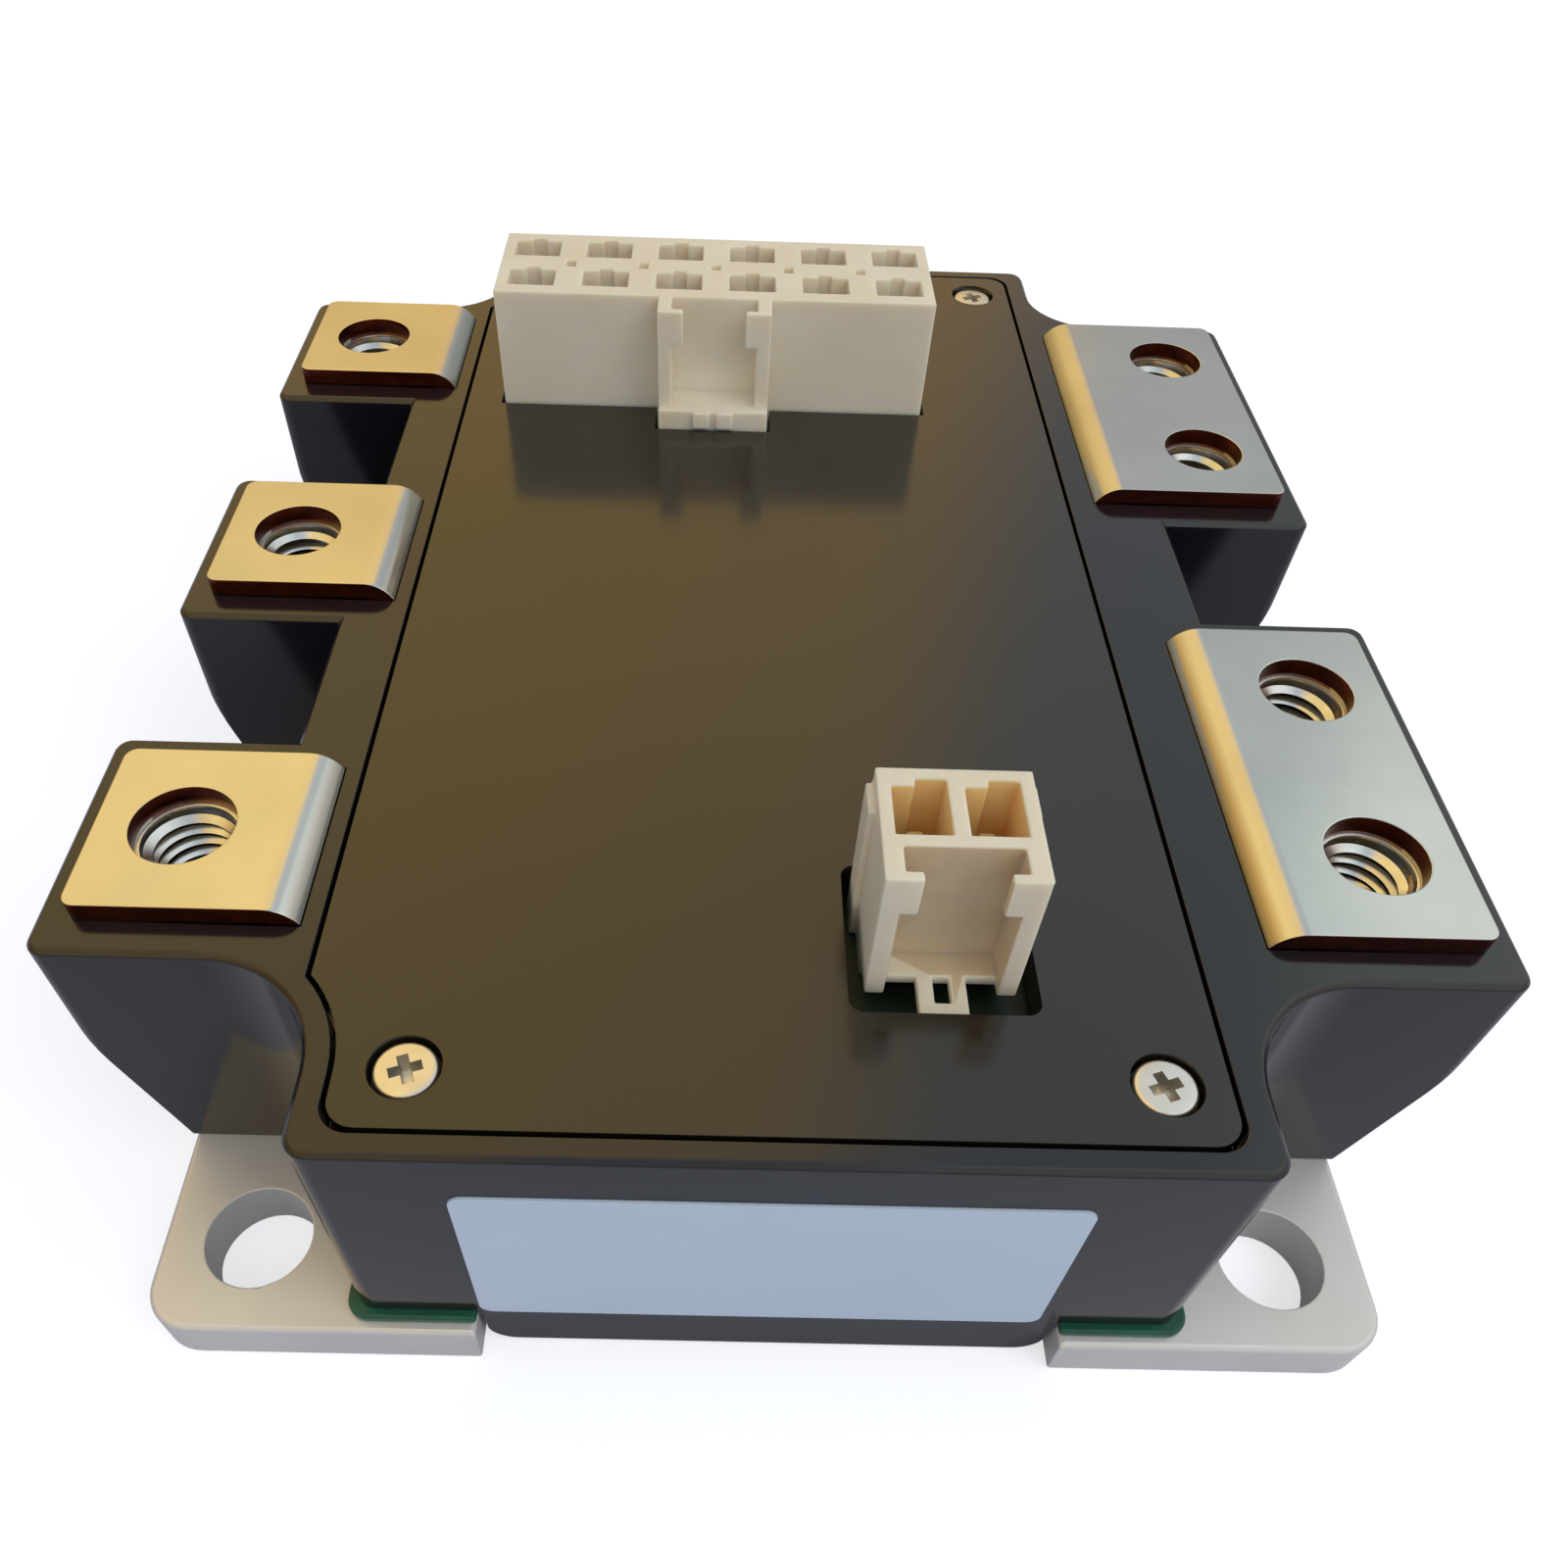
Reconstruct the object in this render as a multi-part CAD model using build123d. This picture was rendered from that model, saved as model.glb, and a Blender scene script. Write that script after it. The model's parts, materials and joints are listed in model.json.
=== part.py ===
from build123d import *
import math
import os

# Six-switch power module, lying on its baseplate.
# Frame: +X to the right (DC side), +Y away, +Z up, origin at the middle of the baseplate's underside.
# All sizes are in millimetres.

# Baseplate and its hole pattern
hole_pitch_x = 70.0
hole_pitch_y = 97.0
mount_hole_r = 3.6
hole_edge = 6.5
base_thick = 4.3
base_corner_r = 3.2
base_edge_chamfer = 0.3

# Moulded case: end body, side walls and terminal blocks
case_top = 26.0
case_setback = 1.3
hole_clear = 7.7
side_step = 5.9
block_depth = 12.3
block_slant = 3.8
block_drop = 7.9
block_corner_r = 1.2
case_corner_r = 1.5
front_relief_r = 7.7
back_relief_r = 6.4
relief_land = 1.0
case_edge_chamfer = 0.35

# Aprons that drop past the baseplate's cut-back ends
apron_width = 37.8
apron_wall = 2.4
apron_lift = 0.4
apron_corner_r = 2.0
apron_gap = 0.2
apron_side_gap = 0.4

# Cavity inside the case
left_wall = 8.7
right_wall = 11.2
end_wall = 6.2
bond_ledge = 3.8
boss_r = 3.4
board_ledge = 1.7

# Seal under the case
seal_thick = 0.8
seal_squeeze = 0.6
seal_relief = 1.0

# Terminal places
terminal_shift_y = 0.6
output_pitch = 32.0
output_block_length = 18.6
dc_pitch = 48.0
dc_block_length = 34.8
dc_hole_pitch = 16.0
hole_to_block = 7.5

# Terminal plates, bent down into the case
output_plate_width = 13.6
dc_plate_width = 29.5
plate_setback = 1.9
plate_thick = 1.4
plate_corner_r = 0.9
terminal_hole_r = 3.3
bend_inner_r = 1.0
output_leg_inset = 4.0
n_leg_inset = 3.7
bond_level = 11.0
foot_setback = 0.4
lead_slot_gap = 0.05

# Rails of the two DC terminals
rail_gap = 0.8
rail_rise = 1.2
rail_height = 4.6
rail_overrun = 0.5
tab_width = 6.0
tab_offset = 5.5

# Captive nuts
nut_flats = 10.0
nut_height = 5.0
nut_bore_r = 2.5
nut_pocket_gap = 0.15
bolt_well_flats = 6.8
bolt_well_depth = 7.5

# Lid
lid_thick = 2.4
lid_left_rim = 5.25
lid_left_end_rim = 2.0
lid_right_rim = 2.3
lid_end_rim = 1.8
lid_corner_r = 1.8
lid_gap = 0.3

# Lid screws
screw_inset_x = 5.9
screw_inset_y = 3.9
screw_seat_thick = 0.85
screw_head_r = 1.9
screw_head_height = 1.3
screw_head_chamfer = 0.4
screw_shank_r = 1.05
screw_length = 8.0
screw_recess = 0.75
screw_slot = 0.5
screw_slot_span = 2.1
screw_turn = 20.0
counterbore_gap = 0.22
shank_hole_gap = 0.2
pilot_gap = 0.02
pilot_spare = 1.5

# Control board
board_thick = 1.6
board_lid_gap = 0.6
board_gap = 0.2
pin_hole_gap = 0.1

# Twelve-way header
signal_x = -5.4
signal_y = 29.6
signal_width = 38.3
signal_depth = 11.7
signal_top = 36.0
signal_pitch = 6.45
signal_row_pitch = 5.7
signal_cavity_w = 4.0
signal_cavity_d = 3.0
signal_cavity_depth = 9.0
signal_key_w = 1.2
signal_key_d = 0.5
signal_mark_w = 0.8
signal_mark_d = 1.2
signal_mark_depth = 1.2
signal_guide_width = 9.8
signal_guide_reach = 2.9
signal_flange_reach = 3.7
signal_flange_rise = 1.6
signal_stub_width = 1.5
signal_stub_gap = 0.6
signal_stub_reach = 0.4
signal_stub_lift = 0.1

# Two-way header
sensor_x = 9.4
sensor_back_y = -32.6
sensor_width = 9.2
sensor_depth = 6.1
sensor_top = 35.2
sensor_wall = 0.85
sensor_web = 1.0
sensor_cavity_depth = 8.7
sensor_key_w = 1.4
sensor_key_d = 0.6
sensor_guide_reach = 2.6
sensor_rib = 0.45
sensor_rib_length = 2.5
sensor_rib_inset = 0.3
sensor_rib_drop = 1.0
sensor_base_rise = 2.5
sensor_base_setback = 0.8
sensor_tab_width = 3.0
sensor_tab_reach = 2.1
sensor_tab_thick = 0.8
sensor_slot_w = 1.0
sensor_slot_length = 1.9
window_gap_x = 1.1
window_gap_back = 0.4
window_gap_front = 0.15
window_corner_r = 0.9

# Both headers
guide_arm = 1.2
guide_lip = 1.0
guide_lip_thick = 0.7
guide_lip_height = 3.0
header_pin = 0.9
header_pin_rise = 6.0
header_pin_tail = 1.2

# Ceramic tiles on the baseplate and their copper areas
tile_side_gap = 0.95
tile_end_gap = 2.5
tile_gap = 2.0
solder_thick = 0.4
solder_inset = 0.5
tile_thick = 0.63
track_thick = 0.3
track_margin = 1.0
track_gap = 1.0
negative_track = 7.0

# Transistor chips and wires
die_width = 5.5
die_length = 5.0
die_thick = 0.25
die_pitch = 8.6
die_inset = 0.7
dies_per_switch = 3
wire_size = 0.4
wire_rise = 1.6
wire_landing = 1.2
lead_wire_pitch = 1.4
lead_wires_per_foot = 2
lead_wire_inset = 1.3

# Pins from the tiles to the board, thermistor and gel
lead_pin = 0.8
lead_pin_inset = 1.2
lead_pin_pitch = 3.0
lead_pin_rise = 0.4
thermistor_length = 3.2
thermistor_width = 1.6
thermistor_height = 0.9
thermistor_pad = 3.0
gel_rise = 5.0

# Label
label_inset = 0.6
label_height = 16.2
label_x = -0.6
label_low = 5.5
label_thick = 0.15
label_corner_r = 0.9

# Worked-out widths and lengths
base_width = hole_pitch_x + 2 * hole_edge
base_length = hole_pitch_y + 2 * hole_edge
case_length = base_length - 2 * case_setback
end_x = hole_pitch_x / 2 - hole_clear
end_y = case_length / 2
wall_x = end_x + side_step
block_x = wall_x + block_depth
toe_x = block_x - block_slant
notch_x = apron_width / 2 + apron_side_gap
notch_y = end_y - apron_wall - apron_gap
label_width = apron_width - 2 * label_inset
cavity_left = wall_x - left_wall
cavity_right = wall_x - right_wall
cavity_half = end_y - end_wall
terminal_hole_x = block_x - hole_to_block
plate_outer_x = block_x - plate_setback
output_leg_x = wall_x - output_leg_inset
n_leg_x = wall_x - n_leg_inset
p_leg_x = n_leg_x - plate_thick - rail_gap
left_foot_end = cavity_left - bond_ledge + foot_setback
right_foot_end = cavity_right - bond_ledge + foot_setback
bend_outer_r = bend_inner_r + plate_thick
lid_left = wall_x - lid_left_rim
lid_left_end = end_x - lid_left_end_rim
lid_right = end_x - lid_right_rim
lid_half = end_y - lid_end_rim
screw_x = end_x - screw_inset_x
screw_y = lid_half - screw_inset_y
screw_spots = [(sx * screw_x, sy * screw_y) for sy in (-1, 1) for sx in (-1, 1)]

# Worked-out levels
foot_z = base_thick + seal_thick
ledge_z = case_top - lid_thick
board_z = ledge_z - board_lid_gap - board_thick
board_top = board_z + board_thick
nut_z = case_top - nut_height
bond_z = bond_level - plate_thick
rail_bottom = bond_level + rail_rise
rail_middle = rail_bottom + rail_height / 2
gel_level = bond_level + gel_rise
screw_seat = ledge_z + screw_seat_thick
screw_top = screw_seat + screw_head_height
tile_z = base_thick + solder_thick
track_z = tile_z + tile_thick
track_top = track_z + track_thick
die_top = track_top + die_thick

# Worked-out places along the case
terminal_ys = [terminal_shift_y + i * output_pitch for i in (-1, 0, 1)]
n_y = terminal_shift_y - dc_pitch / 2
p_y = terminal_shift_y + dc_pitch / 2
front_block_y = terminal_ys[0] - output_block_length / 2
back_block_y = terminal_ys[2] + output_block_length / 2
phase_names = ["u", "v", "w"]
phase_pitch = 2 * (cavity_half - tile_end_gap) / len(phase_names)
phase_ys = [i * phase_pitch for i in (-1, 0, 1)]
last_tab_end = phase_pitch + tab_offset + tab_width / 2
rail_end_y = max(p_y + dc_plate_width / 2, last_tab_end + rail_overrun)
tile_left = -cavity_left + bond_ledge + tile_side_gap
tile_right = cavity_right - bond_ledge - tile_side_gap
tile_length = phase_pitch - tile_gap
track_left = tile_left + track_margin
track_right = tile_right - track_margin

# Worked-out places of the headers
signal_columns = [signal_x + (i - 2.5) * signal_pitch for i in range(6)]
signal_rows = [signal_y - signal_row_pitch / 2, signal_y + signal_row_pitch / 2]
signal_spots = [(x, y) for y in signal_rows for x in signal_columns]
signal_floor = signal_top - signal_cavity_depth
signal_front_y = signal_y - signal_depth / 2
signal_back_y = signal_y + signal_depth / 2
sensor_front_y = sensor_back_y - sensor_depth
sensor_base_y = sensor_front_y - sensor_guide_reach
sensor_cavity_w = (sensor_width - 2 * sensor_wall - sensor_web) / 2
sensor_spots = [(sensor_x + s * (sensor_web + sensor_cavity_w) / 2, sensor_back_y - sensor_depth / 2)
                for s in (-1, 1)]
sensor_floor = sensor_top - sensor_cavity_depth


def block(x0, x1, y0, y1, z0, z1):
    """A box between six planes."""
    return Pos((x0 + x1) / 2, (y0 + y1) / 2, (z0 + z1) / 2) * Box(abs(x1 - x0), abs(y1 - y0), abs(z1 - z0))


def rect(x0, x1, y0, y1):
    """A flat rectangle between four lines."""
    return Pos((x0 + x1) / 2, (y0 + y1) / 2) * Rectangle(abs(x1 - x0), abs(y1 - y0))


def post(x, y, size, z0, z1):
    """An upright square bar about a place."""
    half = size / 2
    return block(x - half, x + half, y - half, y + half, z0, z1)


def drum(x, y, radius, z0, z1):
    """An upright round bar between two levels."""
    return Pos(x, y, (z0 + z1) / 2) * Cylinder(radius, z1 - z0)


def slab(sketch, z0, z1):
    """A sketch of X and Y pulled up between two levels."""
    return extrude(Pos(0, 0, z0) * sketch, z1 - z0)


def upright(sketch, y, width):
    """A sketch of X and Z, stood up and pulled out along Y about a middle."""
    return extrude(Plane.XZ.offset(-y) * sketch, width / 2, both=True)


def rounded(sketch, corners, radius):
    """A sketch with the corners at some places rounded."""
    reach = 0.01
    picked = [v for x, y in corners for v in sketch.vertices() if math.hypot(v.X - x, v.Y - y) < reach]
    return fillet(picked, radius)


def side_of(value):
    """Which side of the middle a place is on: 1 or -1."""
    return 1 if value > 0 else -1


def end_notches():
    """Plans of what both ends lose where the aprons pass the baseplate."""
    return [rect(-notch_x, notch_x, side * notch_y, side * base_length) for side in (-1, 1)]


def baseplate():
    """Nickel-plated copper plate, cut back at both ends for the case's aprons."""
    plan = RectangleRounded(base_width, base_length, base_corner_r) - end_notches()
    plate = slab(plan, 0, base_thick)
    outer = plate.faces().sort_by(Axis.Z)
    plate = chamfer(outer[0].edges() + outer[-1].edges(), base_edge_chamfer)
    holes = [drum(sx * hole_pitch_x / 2, sy * hole_pitch_y / 2, mount_hole_r, -1, base_thick + 1)
             for sx in (-1, 1) for sy in (-1, 1)]
    return plate - holes


def seal_ring(grow):
    """Plan of the seal under the case, open where the aprons pass the baseplate."""
    x, y = end_x + seal_squeeze + grow, end_y + seal_squeeze + grow
    plan = rect(-x, x, -y, y)
    plan = fillet(plan.vertices(), case_corner_r)
    return plan - end_notches() - rect(-cavity_left, cavity_right, -cavity_half, cavity_half)


def base_seal():
    """Green adhesive bead between the case and the baseplate."""
    return slab(seal_ring(0), base_thick, foot_z)


def case_outline():
    """Plan of the case: end body, side walls, three output blocks and two DC blocks."""
    plan = rect(-end_x, end_x, -end_y, end_y)
    plan += rect(-wall_x, wall_x, front_block_y, back_block_y)
    reach = output_block_length / 2
    spans = [(-1, y - reach, y + reach) for y in terminal_ys]
    spans += [(1, front_block_y, n_y + dc_block_length / 2), (1, p_y - dc_block_length / 2, back_block_y)]
    for side, low, high in spans:
        plan += rect(side * wall_x, side * block_x, low, high)
    corners = [(side * block_x, y) for side, low, high in spans for y in (low, high)]
    plan = rounded(plan, corners, block_corner_r)
    plan = rounded(plan, [(x, y) for x in (-end_x, end_x) for y in (-end_y, end_y)], case_corner_r)
    for y, radius in ((front_block_y, front_relief_r), (back_block_y, back_relief_r)):
        wall = end_y - abs(y) - case_corner_r - relief_land
        plan = rounded(plan, [(-end_x, y), (end_x, y)], min(radius, wall))
    return plan


def case_shell():
    """Outer form of the case with its slanting block faces and eased top edge."""
    shell = slab(case_outline(), base_thick, case_top)
    knee = case_top - block_drop
    wedges = []
    for side in (-1, 1):
        outline = Polyline((side * block_x, knee), (side * toe_x, base_thick),
                           (side * base_length, base_thick), (side * base_length, knee), close=True)
        wedges.append(upright(make_face(outline), 0, base_length * 2))
    shell -= wedges
    return chamfer(shell.faces().sort_by(Axis.Z)[-1].edges(), case_edge_chamfer)


def apron(side):
    """Skirt that drops past the baseplate's cut-back end."""
    half = apron_width / 2
    plan = rect(-half, half, apron_lift, foot_z)
    plan = rounded(plan, [(-half, apron_lift), (half, apron_lift)], apron_corner_r)
    return upright(plan, side * (end_y - apron_wall / 2), apron_wall)


def bond_ledges():
    """The two ledges inside the case that carry the terminals' feet."""
    return [block(-cavity_left, -cavity_left + bond_ledge, -cavity_half, cavity_half, foot_z, bond_z),
            block(cavity_right - bond_ledge, cavity_right, -cavity_half, cavity_half, foot_z, bond_z)]


def lid_outline(grow):
    """Plan of the lid: straight on the DC side, stepped in beside the mounting holes on the other."""
    left, end_left, right = lid_left + grow, lid_left_end + grow, lid_right + grow
    half = lid_half + grow
    plan = rect(-left, right, -hole_pitch_y / 2, hole_pitch_y / 2)
    plan += rect(-end_left, right, -half, half)
    for side in (-1, 1):
        plan -= Pos(-hole_pitch_x / 2, side * hole_pitch_y / 2) * Circle(hole_pitch_x / 2 - end_left)
    corners = [(x, side * half) for x in (-end_left, right) for side in (-1, 1)]
    return rounded(plan, corners, lid_corner_r)


def board_outline(grow):
    """Plan of the control board, cut away round the lid's screw bosses."""
    inset = board_gap - grow
    reach = boss_r + inset
    half = cavity_half - inset
    plan = rect(-cavity_left - board_ledge + inset, cavity_right + board_ledge - inset, -half, half)
    corners = []
    for x, y in screw_spots:
        sx, sy = side_of(x), side_of(y)
        corners.append(rect(x - sx * reach, sx * base_width, y - sy * reach, sy * base_length))
    return plan - corners


def strip_profile(side, leg_x, foot_end, grow=0.0):
    """Edge-on profile of a plate that bends down into the case and turns in at the bond ledge."""
    outer_x = plate_outer_x + grow
    inner, outer = leg_x - grow, leg_x + plate_thick + grow
    top, under = case_top + plate_thick + grow, case_top - grow
    end, high, low = foot_end - grow, bond_level + grow, bond_z - grow
    points = [(outer_x, top), (inner, top), (inner, high), (end, high),
              (end, low), (outer, low), (outer, under), (outer_x, under)]
    points = [(side * x, z) for x, z in points]
    face = make_face(Polyline(points, close=True))
    face = rounded(face, [points[1], points[5]], bend_outer_r + grow)
    return rounded(face, [points[2], points[6]], bend_inner_r - grow)


def plate_trim(side, y, width, holes):
    """What is cut from a plate: its bolt holes and the waste of its rounded outer corners."""
    z0, z1 = case_top - 1, case_top + plate_thick + 1
    cut = [drum(side * terminal_hole_x, hole, terminal_hole_r, z0, z1) for hole in holes]
    for end in (-1, 1):
        x, edge = side * plate_outer_x, y + end * width / 2
        inner_x, inner_y = x - side * plate_corner_r, edge - end * plate_corner_r
        corner = block(inner_x, x + side, inner_y, edge + end, z0, z1)
        cut.append(corner - drum(inner_x, inner_y, plate_corner_r, z0 - 1, z1 + 1))
    return cut


def output_bar(y, grow=0.0):
    """One bent output plate, from its bolt face to its bond foot."""
    profile = strip_profile(-1, output_leg_x, left_foot_end, grow)
    return upright(profile, y, output_plate_width + 2 * grow)


def dc_bar(y, leg_x, shift, grow=0.0):
    """One DC terminal: bolt plate, leg, rail along the case and a bond tab for each phase."""
    far = base_length
    profile = strip_profile(1, leg_x, right_foot_end, grow)
    upper = upright(profile, y, dc_plate_width + 2 * grow) - block(0, far, -far, far, 0, rail_middle)
    rail = block(leg_x - grow, leg_x + plate_thick + grow, -rail_end_y - grow, rail_end_y + grow,
                 rail_bottom - grow, rail_bottom + rail_height + grow)
    above = block(0, far, -far, far, rail_middle, 2 * case_top)
    tabs = [upright(profile, phase_y + shift, tab_width + 2 * grow) - above for phase_y in phase_ys]
    return upper + [rail] + tabs


def terminal_bars(grow=0.0):
    """All five terminals by letter, before their holes are cut."""
    bars = {name: output_bar(y, grow) for name, y in zip(phase_names, terminal_ys)}
    bars["p"] = dc_bar(p_y, p_leg_x, tab_offset, grow)
    bars["n"] = dc_bar(n_y, n_leg_x, -tab_offset, grow)
    return bars


def bolt_places():
    """Side, middle, plate width and hole places of each terminal, by letter."""
    half = dc_hole_pitch / 2
    places = {name: (-1, y, output_plate_width, [y]) for name, y in zip(phase_names, terminal_ys)}
    places["p"] = (1, p_y, dc_plate_width, [p_y - half, p_y + half])
    places["n"] = (1, n_y, dc_plate_width, [n_y - half, n_y + half])
    return places


def terminals():
    """The five finished terminals by node name."""
    places = bolt_places()
    return {"terminal_" + name: bar - plate_trim(*places[name]) for name, bar in terminal_bars().items()}


def nut_spots():
    """Node name and place of each captive nut."""
    spots = []
    for name, (side, _, _, holes) in bolt_places().items():
        for i, y in enumerate(holes):
            number = "_" + str(i + 1) if len(holes) > 1 else ""
            spots.append(("nut_" + name + number, side * terminal_hole_x, y))
    return spots


def hex_plan(flats):
    """A hexagon of a size across its flats."""
    return RegularPolygon(flats / 2, 6, major_radius=False)


def nut(x, y):
    """One hexagon nut, its top face under the plate."""
    return slab(Pos(x, y) * hex_plan(nut_flats), nut_z, case_top) - drum(x, y, nut_bore_r, nut_z - 1, case_top + 1)


def nut_pockets():
    """Hexagon pockets in the blocks, each stepped down to a well for the bolt's tip."""
    pocket, well = hex_plan(nut_flats + 2 * nut_pocket_gap), hex_plan(bolt_well_flats)
    cuts = []
    for _, x, y in nut_spots():
        cuts.append(slab(Pos(x, y) * pocket, nut_z, case_top + 1))
        cuts.append(slab(Pos(x, y) * well, nut_z - bolt_well_depth, case_top))
    return cuts


def case_frame():
    """Moulded case: walls, terminal blocks, nut pockets, lead slots, ledges, bosses and lid rebate."""
    hollow = rect(-cavity_left, cavity_right, -cavity_half, cavity_half)
    frame = case_shell() - [slab(hollow, 0, ledge_z), slab(seal_ring(seal_relief), 0, foot_z)]
    bosses = [drum(x, y, boss_r, foot_z, ledge_z) for x, y in screw_spots]
    frame += [apron(-1), apron(1)] + bond_ledges() + bosses
    cuts = [slab(board_outline(board_gap), board_z, ledge_z)]
    cuts.append(slab(lid_outline(lid_gap), ledge_z, case_top + 1))
    pilot_z = ledge_z - screw_length - pilot_spare
    cuts += [drum(x, y, screw_shank_r + pilot_gap, pilot_z, case_top) for x, y in screw_spots]
    cuts += nut_pockets()
    cuts += list(terminal_bars(lead_slot_gap).values())
    return frame - cuts


def label():
    """Bare film label on the front face."""
    film = RectangleRounded(label_width, label_height, label_corner_r)
    return upright(Pos(label_x, label_low + label_height / 2) * film, -end_y - label_thick / 2, label_thick)


def lid():
    """Flat lid with its header openings and four sunk screw seats."""
    over = case_top + 1
    g = lid_gap
    half, guide_half = signal_width / 2 + g, signal_guide_width / 2 + g
    flange_y = signal_front_y - signal_flange_reach - g
    opening = rect(signal_x - half, signal_x + half, signal_front_y - g, signal_back_y + g)
    opening += rect(signal_x - guide_half, signal_x + guide_half, flange_y, signal_y)
    half = sensor_width / 2 + window_gap_x
    window = rect(sensor_x - half, sensor_x + half, sensor_base_y - sensor_tab_reach - window_gap_front,
                  sensor_back_y + window_gap_back)
    cuts = [slab(opening, 0, over), slab(fillet(window.vertices(), window_corner_r), 0, over)]
    cuts += [drum(x, y, screw_shank_r + shank_hole_gap, 0, over) for x, y in screw_spots]
    cuts += [drum(x, y, screw_head_r + counterbore_gap, screw_seat, over) for x, y in screw_spots]
    return slab(lid_outline(0), ledge_z, case_top) - cuts


def lid_screw(x, y):
    """Pan-head screw with a cross recess."""
    head = drum(x, y, screw_head_r, screw_seat, screw_top)
    head = chamfer(head.edges().sort_by(Axis.Z)[-1], screw_head_chamfer)
    screw = head + drum(x, y, screw_shank_r, ledge_z - screw_length, screw_seat)
    cross = [Pos(x, y, screw_top) * Rot(0, 0, turn) * Box(screw_slot_span, screw_slot, 2 * screw_recess)
             for turn in (screw_turn, screw_turn + 90)]
    return screw - cross


def control_board():
    """Green circuit board on its ledge, drilled for the header and lead pins."""
    board = slab(board_outline(0), board_z, board_top)
    pins = [(x, y, header_pin) for x, y in signal_spots + sensor_spots]
    pins += [(x, y, lead_pin) for x, y in lead_pin_spots()]
    return board - [post(x, y, size + 2 * pin_hole_gap, 0, case_top) for x, y, size in pins]


def guide(x, width, face_y, reach, low, top):
    """Two latch arms in front of a header's face, each with a lip turned inwards at its top."""
    pieces = []
    for side in (-1, 1):
        outer = x + side * width / 2
        inner = outer - side * guide_arm
        pieces.append(block(outer, inner, face_y - reach, face_y, low, top))
        pieces.append(block(inner, inner - side * guide_lip, face_y - reach, face_y - reach + guide_lip_thick,
                            top - guide_lip_height, top))
    return pieces


def signal_header():
    """Two-row, twelve-way header with a latch guide in the middle of its front."""
    half, guide_half = signal_width / 2, signal_guide_width / 2
    flange_top = case_top + signal_flange_rise
    over = signal_top + 1
    body = block(signal_x - half, signal_x + half, signal_front_y, signal_back_y, board_top, signal_top)
    flange = block(signal_x - guide_half, signal_x + guide_half, signal_front_y - signal_flange_reach,
                   signal_front_y, board_top, flange_top)
    arms = guide(signal_x, signal_guide_width, signal_front_y, signal_guide_reach, flange_top, signal_top)
    body += [flange] + arms
    for side in (-1, 1):
        inner = signal_x + side * signal_stub_gap / 2
        body += block(inner, inner + side * signal_stub_width, signal_front_y - signal_flange_reach - signal_stub_reach,
                      signal_front_y - signal_flange_reach, case_top + signal_stub_lift, flange_top)
    w, d = signal_cavity_w / 2, signal_cavity_d / 2
    cuts = []
    for x, y in signal_spots:
        cavity = block(x - w, x + w, y - d, y + d, signal_floor, over)
        key = block(x - signal_key_w / 2, x + signal_key_w / 2, y, y + d + signal_key_d, signal_floor, over)
        cuts += [cavity + key, post(x, y, header_pin, 0, signal_top)]
    for x in signal_columns[:-1]:
        mid = x + signal_pitch / 2
        cuts.append(block(mid - signal_mark_w / 2, mid + signal_mark_w / 2, signal_y - signal_mark_d / 2,
                          signal_y + signal_mark_d / 2, signal_top - signal_mark_depth, over))
    return body - cuts


def sensor_header():
    """Two-way header with hanging latch arms, side ribs and a thin shelf with a slotted tab."""
    half = sensor_width / 2
    base_top = board_top + sensor_base_rise
    shelf_z = base_top - sensor_tab_thick
    tab_y = sensor_base_y + sensor_base_setback
    added = guide(sensor_x, sensor_width, sensor_front_y, sensor_guide_reach, shelf_z, sensor_top)
    rib_back = sensor_back_y - sensor_rib_inset
    for side in (-1, 1):
        edge = sensor_x + side * half
        added.append(block(edge, edge + side * sensor_rib, rib_back - sensor_rib_length, rib_back,
                           board_top, sensor_top - sensor_rib_drop))
    added.append(block(sensor_x - half, sensor_x + half, tab_y, sensor_front_y, shelf_z, base_top))
    added.append(block(sensor_x - sensor_tab_width / 2, sensor_x + sensor_tab_width / 2,
                       sensor_base_y - sensor_tab_reach, tab_y, shelf_z, base_top))
    body = block(sensor_x - half, sensor_x + half, sensor_front_y, sensor_back_y, board_top, sensor_top)
    body += added
    slot_x, slot_y = sensor_slot_w / 2, tab_y - sensor_slot_length
    cuts = [block(sensor_x - slot_x, sensor_x + slot_x, slot_y, tab_y, board_top, case_top)]
    w = sensor_cavity_w / 2
    for x, y in sensor_spots:
        cavity = block(x - w, x + w, sensor_front_y + sensor_wall, sensor_back_y - sensor_wall,
                       sensor_floor, sensor_top + 1)
        key = block(x - w, x - w + sensor_key_w, sensor_back_y - sensor_wall - sensor_key_d, sensor_back_y,
                    sensor_floor, sensor_top + 1)
        cuts += [cavity - key, post(x, y, header_pin, 0, sensor_top)]
    return body - cuts


def square_pins(spots, size, z0, z1):
    """Upright square pins as one group of solids."""
    return Compound([post(x, y, size, z0, z1) for x, y in spots])


def track_spans(y):
    """Where the negative, output and positive copper areas of a tile run along Y."""
    low, high = y - tile_length / 2 + track_margin, y + tile_length / 2 - track_margin
    depth = (high - low - negative_track) / 2 - track_gap
    output_low = low + negative_track + track_gap
    return [(low, low + negative_track), (output_low, output_low + depth), (high - depth, high)]


def thermistor_pads(y):
    """Plans of the two small copper pads at the left end of the middle tile's front area."""
    low = track_spans(y)[0][0]
    lefts = [track_left, track_left + thermistor_pad + track_gap]
    return [(x, x + thermistor_pad, low, low + thermistor_pad) for x in lefts]


def tracks(name, y):
    """Copper areas on a tile."""
    areas = [(track_left, track_right, low, high) for low, high in track_spans(y)]
    if name == "v":
        pads = thermistor_pads(y)
        areas[0] = (pads[-1][1] + track_gap, *areas[0][1:])
        areas += pads
    return Compound([block(*area, track_z, track_top) for area in areas])


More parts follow.
